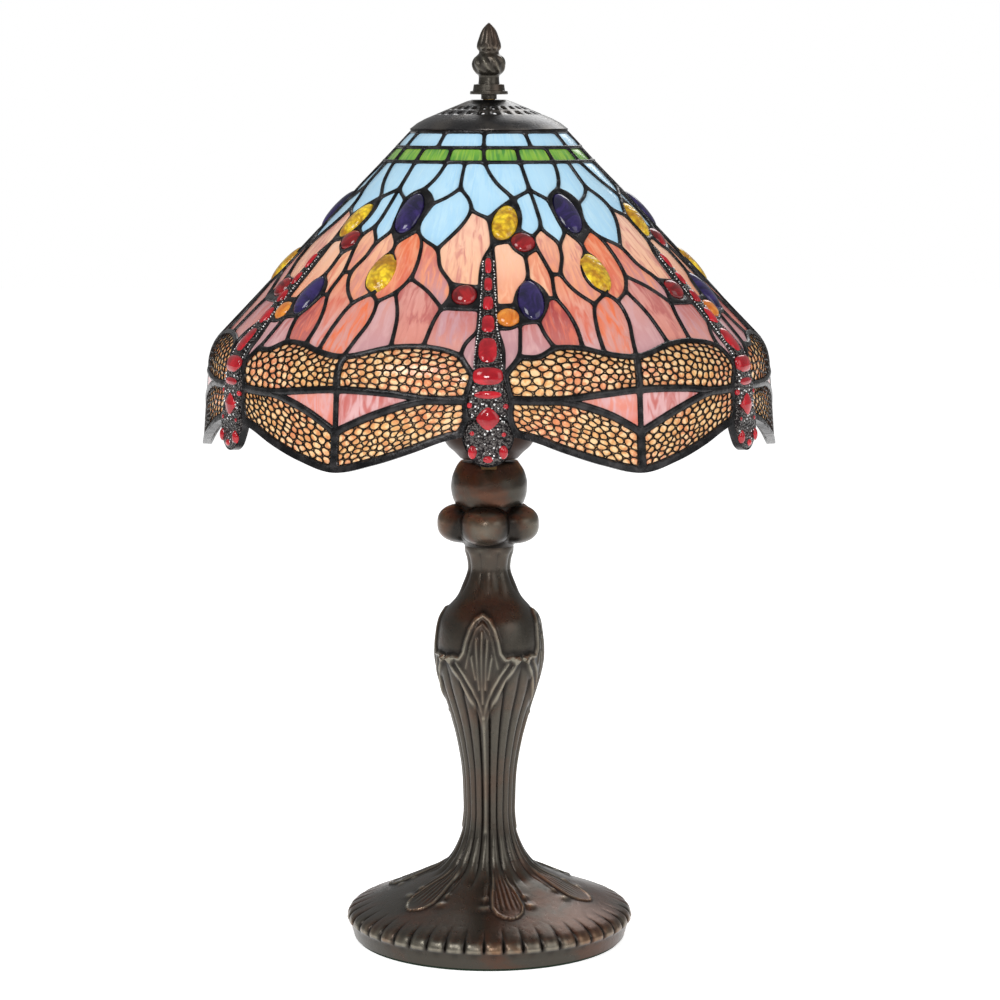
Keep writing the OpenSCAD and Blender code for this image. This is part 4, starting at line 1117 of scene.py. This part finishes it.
def net_cells(outline, size, stretch, lean, seed):
    """Relaxed cells over a wing, as rings of points in the flat wing."""
    lean_cos, lean_sin = math.cos(lean), math.sin(lean)
    turn = np.array([[lean_cos, -lean_sin], [lean_sin, lean_cos]])
    squeeze = np.array([1.0 / (size * stretch), 1.0 / size])
    wing = outline @ turn * squeeze
    draw = random.Random(seed)
    low, high = wing.min(0), wing.max(0)
    step, cell_area, relaxings, widest_cell = 0.25, 0.93, 7, 2.2
    fill = np.array([(x, y) for x in np.arange(low[0], high[0], step)
                     for y in np.arange(low[1], high[1], step)])
    fill = fill[edge_distance(fill, wing) > 0.0]
    count = max(6, int(len(fill) * step * step / cell_area))
    seeds = np.array([fill[draw.randrange(len(fill))] for _ in range(count)])
    for _ in range(relaxings):
        owner = ((fill[:, None] - seeds[None]) ** 2).sum(2).argmin(1)
        for i in range(count):
            mine = fill[owner == i]
            if len(mine):
                seeds[i] = mine.mean(0)
    spaced = evenly(np.vstack([wing, wing[:1]]), 0.7)[:-1]
    ahead = np.roll(spaced, -1, 0) - np.roll(spaced, 1, 0)
    ahead /= np.linalg.norm(ahead, axis=1)[:, None]
    ghosts = spaced + np.stack([ahead[:, 1], -ahead[:, 0]], 1) * 0.5
    ghosts = ghosts[edge_distance(ghosts, wing) < -0.25]
    everyone = np.vstack([seeds, ghosts])
    found = delaunay_2d_cdt([Vector(p) for p in everyone], [], [], 0, 1e-6)
    verts = np.array([tuple(v) for v in found[0]])
    came_from = [o[0] if o else -1 for o in found[3]]
    touching = {}
    for face in found[2]:
        a, b, c = (verts[i] for i in face)
        d = 2 * ((b[0] - a[0]) * (c[1] - a[1]) - (c[0] - a[0]) * (b[1] - a[1]))
        if abs(d) < 1e-9:
            continue
        ab, ac = b - a, c - a
        centre = a + np.array([ac[1] * (ab @ ab) - ab[1] * (ac @ ac),
                               ab[0] * (ac @ ac) - ac[0] * (ab @ ab)]) / d
        for i in face:
            touching.setdefault(came_from[i], []).append(centre)
    cells = []
    for i in range(count):
        ring = np.array(touching.get(i, []))
        if len(ring) < 3:
            continue
        mid = ring.mean(0)
        ring = ring[np.argsort(np.arctan2(ring[:, 1] - mid[1], ring[:, 0] - mid[0]))]
        if np.abs(ring - mid).max() > widest_cell:
            continue
        cells.append((ring / squeeze) @ turn.T)
    return cells


net_half, net_points_round = 0.36, 10
net_top, net_low, net_inner_drop = 1.62, 1.0, 0.14
net_inset = 1.6


def net_mesh(number, size, stretch, lean, seed):
    """The brass net over one wing: a ridge round every cell, down to the glass."""
    outline = moved_in(loops[number], net_inset + rim_extra(number, loops[number]),
                       corner_rounding)
    k = per_degree(outline[:, 1].mean())
    parts = []
    for cell in net_cells(outline * (k, 1.0), size, stretch, lean, seed):
        ring = evenly(np.vstack([cell, cell[:1]]), 0.2)
        pick = np.linspace(0, len(ring) - 1, net_points_round, endpoint=False).round().astype(int)
        outer = ring[pick]
        mid = outer.mean(0)
        reach = np.linalg.norm(outer - mid, axis=1)[:, None]
        inner = mid + (outer - mid) * np.clip((reach - net_half) / reach, 0.3, 1.0)
        inner = inner * 0.6 + (np.roll(inner, 1, 0) + np.roll(inner, -1, 0)) * 0.2
        rows = [(outer, net_low), (outer, net_top), (inner, net_top - net_inner_drop),
                (inner, net_low)]
        points = np.vstack([on_shade(p[:, 0] / k, p[:, 1], lift) for p, lift in rows])
        parts.append((points, ring_faces(len(rows), len(outer), closed=True)))
    points, faces, _ = gathered(parts)
    return points, faces


amber_mottle = wing_glass("wing_mottle")
for wing_kind in ("upper_wing", "lower_wing"):
    wing_points, wing_faces, _ = gathered([pane_mesh(i)[:2] for i in numbers_of(wing_kind)])
    round_the_shade(wing_kind + "_panes", wing_points, wing_faces, amber_mottle, "shade",
                    [wing_kind + "_glass"])

nets = [net_mesh(i, size=3.3, stretch=1.45, lean=0.0, seed=11 + i)
        for i in numbers_of("upper_wing")]
nets += [net_mesh(i, size=2.9, stretch=1.7, lean=side * 0.42, seed=23 + i)
         for i, side in zip(numbers_of("lower_wing"), (-1, 1))]
net_points, net_faces, _ = gathered(nets)
net_brass = speckled("blackened_brass", (28, 24, 22), (74, 54, 40), grain=(500.0, 4.0, 0.6),
                     gloss=(0.2, 0.24), bump=(0.0003, 0.6), edge=(0.45, 0.7), Metallic=0.85)
round_the_shade("wing_nets", net_points, net_faces, net_brass, "shade",
                ["wing_filigree"], None, 1e-6)

# ---- Shade: dragonflies --------------------------------------------------------------
# Tail, thorax and head hanging head down on each sixth: a raised, granulated metal body
# with a row of red glass segments, bright beads of solder, and glass eyes.
plate_back, crown_reach = 1.5, 2.2


def crowned_mesh(number, foot, crown):
    """A metal plate over a piece, domed from its edges up to its middle."""
    outline = moved_in(loops[number], 0.25, 1)
    k = per_degree(outline[:, 1].mean())
    verts, tris, away = filled(outline * (k, 1.0), step=1.0, clear=0.5)
    lift = foot + (crown - foot) * np.sqrt(np.clip(away / crown_reach, 0.0, 1.0))
    places = verts / (k, 1.0)
    return slab(on_shade(places[:, 0], places[:, 1], lift),
                on_shade(places[:, 0], places[:, 1], np.full(len(verts), -plate_back)), tris)


body_metal = Finish("granulated_metal", Metallic=0.9)
grains = body_metal.node("ShaderNodeTexVoronoi", {"feature": "SMOOTH_F1"},
                         {"Vector": body_metal.place(), "Scale": 900.0, "Smoothness": 0.4})
body_metal.set(Base_Color=body_metal.mix(grains.ramp(0.2, 0.7), tone(98, 94, 92),
                                         tone(30, 26, 28)),
               Roughness=grains * 0.2 + 0.14)
body_metal.bump(grains, -0.0009, 0.9)
plates = [crowned_mesh(i, foot=1.6, crown=2.9) for i in tail_numbers]
plates += [crowned_mesh(i, foot=1.7, crown=3.4) for i in thorax_numbers]
plate_points, plate_faces, _ = gathered(plates)
round_the_shade("dragonfly_plates", plate_points, plate_faces, body_metal, "shade",
                ["dragonfly_bodies"])


def cabochon(turn, s, half_wide, half_long, foot, height, power=2.0, around=20):
    """A small domed stone on the shade, squarish where the power is high."""
    k = per_degree(s)
    angle = np.arange(around) * 2 * math.pi / around
    c, q = np.cos(angle), np.sin(angle)
    wide = np.sign(c) * np.abs(c) ** (2.0 / power) * half_wide / k
    long = np.sign(q) * np.abs(q) ** (2.0 / power) * half_long
    rows = [(1.0, foot - 0.8)] + [(math.cos(a), foot + height * math.sin(a))
                                  for a in np.radians((0, 25, 50, 75))]
    points = [on_shade(turn + wide * share, s + long * share, lift) for share, lift in rows]
    last = (len(rows) - 1) * around
    faces = ring_faces(len(rows), around)
    faces += [tuple(range(around)), tuple(last + i for i in reversed(range(around)))]
    return np.vstack(points), faces


# Each tail segment: its place down the slope, its half length and its half width.
segments = [(92.5, 5.4, 1.6), (104.5, 4.6, 2.0), (116.5, 4.6, 2.5), (129.7, 5.8, 3.1),
            (145.7, 7.8, 4.6)]
tail_stones = [cabochon(0.0, s, wide, long, foot=2.3, height=1.5, power=3.0)
               for s, long, wide in segments]
tail_stones += [cabochon(0.0, 159.0, 7.2, 4.0, 2.8, 2.0, 2.8),
                cabochon(0.0, 167.4, 7.6, 2.2, 2.8, 1.2, 2.2),
                cabochon(0.0, 179.0, 5.6, 6.0, 2.9, 1.6, 1.5)]
tail_stones += [cabochon(turn, s, 1.5, 1.5, foot=2.6, height=1.2, around=12)
                for turn, s in ((-3.3, 172.5), (-2.9, 186.0), (3.2, 173.0), (2.9, 186.6))]
stone_points, stone_faces, _ = gathered(tail_stones)
tail_red = jewel_glass("tail_red", (140, 10, 24), (190, 28, 40), False, 0.12)
round_the_shade("tail_stones", stone_points, stone_faces, tail_red, "shade",
                ["tail_glass"], None, 1e-6)
eyes = [cabochon(-2.8, 195.0, 2.2, 3.4, 2.8, 1.8), cabochon(2.8, 195.0, 2.2, 3.4, 2.8, 1.8),
        cabochon(0.0, 198.6, 2.6, 1.8, 2.8, 1.4)]
eye_points, eye_faces, _ = gathered(eyes)
round_the_shade("eye_stones", eye_points, eye_faces, tail_red, "shade",
                ["eye_jewels"], None, 1e-6)

# Small beads of solder, half sunk in the body: a row down both sides of the tail, and a
# scatter over the thorax and the head.
bead_draw = random.Random(5)
tail_lift, thorax_lift, scattered = 2.0, 2.9, 90
beads = []
for s in np.arange(89.0, 156.0, 1.7):
    half = np.interp(s, [88, 132, 143, 158], [1.4, 1.9, 2.4, 2.7])
    for side in (-1, 1):
        beads.append((side * half + bead_draw.uniform(-0.1, 0.1), s + bead_draw.uniform(-0.4, 0.4),
                      bead_draw.uniform(0.35, 0.6), tail_lift))
for _ in range(scattered):
    s = bead_draw.uniform(163.5, 199.0)
    half = np.interp(s, [158, 170, 179, 188, 194, 200], [2.6, 3.4, 3.2, 4.2, 3.6, 2.0])
    beads.append((bead_draw.uniform(-half, half), s, bead_draw.uniform(0.35, 0.8),
                  thorax_lift))
white_metal = speckled("bright_solder", (160, 160, 160), (250, 250, 248), grain=(700.0, 3.0),
                       gloss=(0.15, 0.12), Metallic=0.9)
bead_sides, bead_height = 8, 1.1
bead_points, bead_faces, _ = gathered(
    [cabochon(turn, s, size, size, foot, size * bead_height, around=bead_sides)
     for turn, s, size, foot in beads])
round_the_shade("solder_beads", bead_points, bead_faces, white_metal, "shade", [],
                None, 1e-6)

# ---- Vent cap ------------------------------------------------------------------------
# Spun brass cap, blackened, that drops over the top of the shade. Two rings of leaf-shaped
# slots let the heat out, and its rim is rolled.
cap_outer = [(41.0, 434.5), (41.55, 434.9), (41.5, 435.5), (40.6, 436.1), (37.8, 438.3),
             (33.5, 440.6), (29.0, 442.5)]
cap_slots = 26
cap_rings = ((29.0, 442.5, 23.2, 444.95), (22.8, 445.1, 17.4, 447.35))
cap_crown = [(17.0, 447.5), (12.0, 449.6), (9.0, 450.5), (3.6, 450.5)]
cap_wall = 1.0
per_slot = 4


def cap_point(turn, r, z):
    a = math.radians(turn)
    return (r * math.sin(a) * MM, -r * math.cos(a) * MM, z * MM)


def cap_mesh():
    points, faces = [], []
    around = cap_slots * per_slot

    def plain(outline):
        first = len(points)
        for r, z in outline:
            points.extend(cap_point(i * 360.0 / around, r, z) for i in range(around))
        faces.extend(ring_faces(len(outline), around, first))

    def slotted(r0, z0, r1, z1):
        gap = 360.0 / cap_slots
        for slot in range(cap_slots):
            frame_uv = [(i / per_slot, 0.0) for i in range(per_slot)]
            frame_uv += [(1.0, i / per_slot) for i in range(per_slot)]
            frame_uv += [(1.0 - i / per_slot, 1.0) for i in range(per_slot)]
            frame_uv += [(0.0, 1.0 - i / per_slot) for i in range(per_slot)]
            hole_uv = []
            for u, v in frame_uv:
                angle = math.atan2(v - 0.5, u - 0.5)
                long = math.sin(angle)
                hole_uv.append((0.5 + 0.2 * math.cos(angle) * (1.0 - 0.35 * long),
                                0.5 + 0.34 * long))
            first = len(points)
            for u, v in frame_uv + hole_uv:
                points.append(cap_point((slot + u) * gap, r0 + (r1 - r0) * v,
                                        z0 + (z1 - z0) * v))
            faces.extend(ring_faces(2, len(frame_uv), first))

    plain(cap_outer)
    slotted(*cap_rings[0])
    plain([cap_rings[0][2:], cap_rings[1][:2]])
    slotted(*cap_rings[1])
    plain([cap_rings[1][2:]] + cap_crown)
    return np.array(points), faces


cap_metal = Finish("cap_metal", Metallic=0.9)
cap_cloud = cap_metal.noise(cap_metal.place(), 60.0, 4.0)
cap_grain = cap_metal.noise(cap_metal.place(), 700.0, 4.0)
cap_metal.set(Base_Color=cap_metal.mix(cap_cloud.ramp(0.4, 0.7), tone(52, 51, 52),
                                       tone(92, 86, 80)),
              Roughness=cap_grain * 0.2 + 0.2)
cap_metal.bump(cap_grain, 0.0002, 0.5)
cap_points, cap_faces = cap_mesh()
cap = made_object("cap_shell", cap_points, cap_faces, cap_metal, None, None)
wall = cap.modifiers.new("wall", "SOLIDIFY")
wall.thickness = cap_wall * MM
wall.offset = -1.0
make_plain(cap)
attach(cap, "shade")
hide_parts("vent_cap")

# ---- Finial --------------------------------------------------------------------------
# Cast finial that screws down on the harp's stud: a stepped foot on a flange, a ball with
# slanting grooves, and a closed bud of pointed leaves.
finial_foot_outline = [(4.1, 450.8), (4.1, 453.2), (9.8, 453.3), (10.0, 453.8), (9.8, 454.9),
                       (8.5, 455.2), (8.3, 456.2), (8.0, 458.4), (5.6, 458.8), (5.4, 460.4)]
finial_foot_bore = [(3.3, 460.4), (3.3, 450.8)]
finial_bud_outline = [(5.4, 460.4), (5.5, 463.0), (7.3, 464.8), (8.6, 469), (7.4, 472.4),
                      (5.2, 475), (6.2, 478.6), (5.3, 482), (3.8, 486), (1.6, 489.2), (0.3, 490.4)]


def finial_relief(T, R, Z, S):
    swirl = np.cos(np.radians(T * 9 + Z * 34.0)) * 0.45
    ball = ease(464.0, 466.5, Z) * (1.0 - ease(471.5, 474.0, Z))
    bumps = np.abs(np.cos(np.radians(T * 5))) * 0.6
    crown = np.exp(-((Z - 477.4) / 1.3) ** 2)
    leaf = (np.abs(np.cos(np.radians(T * 3 + 30))) - 0.6) * 0.8
    bud = ease(478.0, 480.0, Z) * (1.0 - ease(487.0, 490.0, Z))
    return swirl * ball + bumps * crown + leaf * bud


finial_bronze = patina("finial_bronze", warmth=0.35, shine=0.8)
revolved("finial_foot_casting", np.array(finial_foot_outline), finial_foot_bore, 96, None,
         finial_bronze, "finial", "bronze", ["finial_foot"])
revolved("finial_bud_casting", evenly(smooth_outline(finial_bud_outline, 6), 0.3),
         [(0.0, 490.5), (0.0, 460.4)], 180, finial_relief, finial_bronze, "finial", "bronze",
         ["finial_bud"])

# ---- Table top and light -------------------------------------------------------------
# A plain pale floor under even, soft studio light: one big key from the upper left, a
# fill from the right and a strip behind.
floor_mesh = bpy.data.meshes.new("floor")
floor_half = 6.0
floor_mesh.from_pydata([(-floor_half, -floor_half, 0), (floor_half, -floor_half, 0),
                        (floor_half, floor_half, 0), (-floor_half, floor_half, 0)], [],
                       [(0, 1, 2, 3)])
floor = bpy.data.objects.new("floor", floor_mesh)
bpy.context.scene.collection.objects.link(floor)
floor_paint = Finish("floor_paint", Roughness=0.9, Base_Color=tone(246, 246, 246),
                     Emission_Color=(1.0, 1.0, 1.0, 1.0), Emission_Strength=0.7)
floor_mesh.materials.append(floor_paint.material)

world = bpy.data.worlds.new("studio")
bpy.context.scene.world = world
world.use_nodes = True
sky_tree = world.node_tree
sky_light = sky_tree.nodes["Background"]
sky_light.inputs["Strength"].default_value = 1.0
outward = sky_tree.nodes.new("ShaderNodeNewGeometry")
upward = sky_tree.nodes.new("ShaderNodeSeparateXYZ")
sky_tree.links.new(outward.outputs["Incoming"], upward.inputs[0])
brightness = sky_tree.nodes.new("ShaderNodeMapRange")
for socket, value in (("From Min", 0.7), ("From Max", -0.9), ("To Min", 0.1), ("To Max", 0.44)):
    brightness.inputs[socket].default_value = value
sky_tree.links.new(upward.outputs["Z"], brightness.inputs["Value"])
sky_tree.links.new(brightness.outputs[0], sky_light.inputs["Color"])
white_wall = sky_tree.nodes.new("ShaderNodeBackground")
white_wall.inputs["Color"].default_value = (1.0, 1.0, 1.0, 1.0)
seen_direct = sky_tree.nodes.new("ShaderNodeLightPath")
chosen_light = sky_tree.nodes.new("ShaderNodeMixShader")
sky_tree.links.new(seen_direct.outputs["Is Camera Ray"], chosen_light.inputs[0])
sky_tree.links.new(sky_light.outputs[0], chosen_light.inputs[1])
sky_tree.links.new(white_wall.outputs[0], chosen_light.inputs[2])
sky_tree.links.new(chosen_light.outputs[0], sky_tree.nodes["World Output"].inputs[0])

for light_name, place, size, power in (
        ("key_light", (-1.0, -1.4, 1.6), 0.8, 15.0), ("fill_light", (1.4, -1.0, 1.0), 1.2, 7.0),
        ("front_light", (-0.1, -1.6, 0.75), 0.25, 4.0),
        ("back_light", (0.3, 1.5, 1.4), 1.0, 9.0)):
    lamp_data = bpy.data.lights.new(light_name, "AREA")
    lamp_data.size = size
    lamp_data.energy = power
    lamp = bpy.data.objects.new(light_name, lamp_data)
    lamp.location = place
    aim = Vector((0.0, 0.0, 0.25)) - Vector(place)
    lamp.rotation_euler = aim.to_track_quat("-Z", "Y").to_euler()
    bpy.context.scene.collection.objects.link(lamp)
bpy.context.scene.view_settings.view_transform = "Standard"
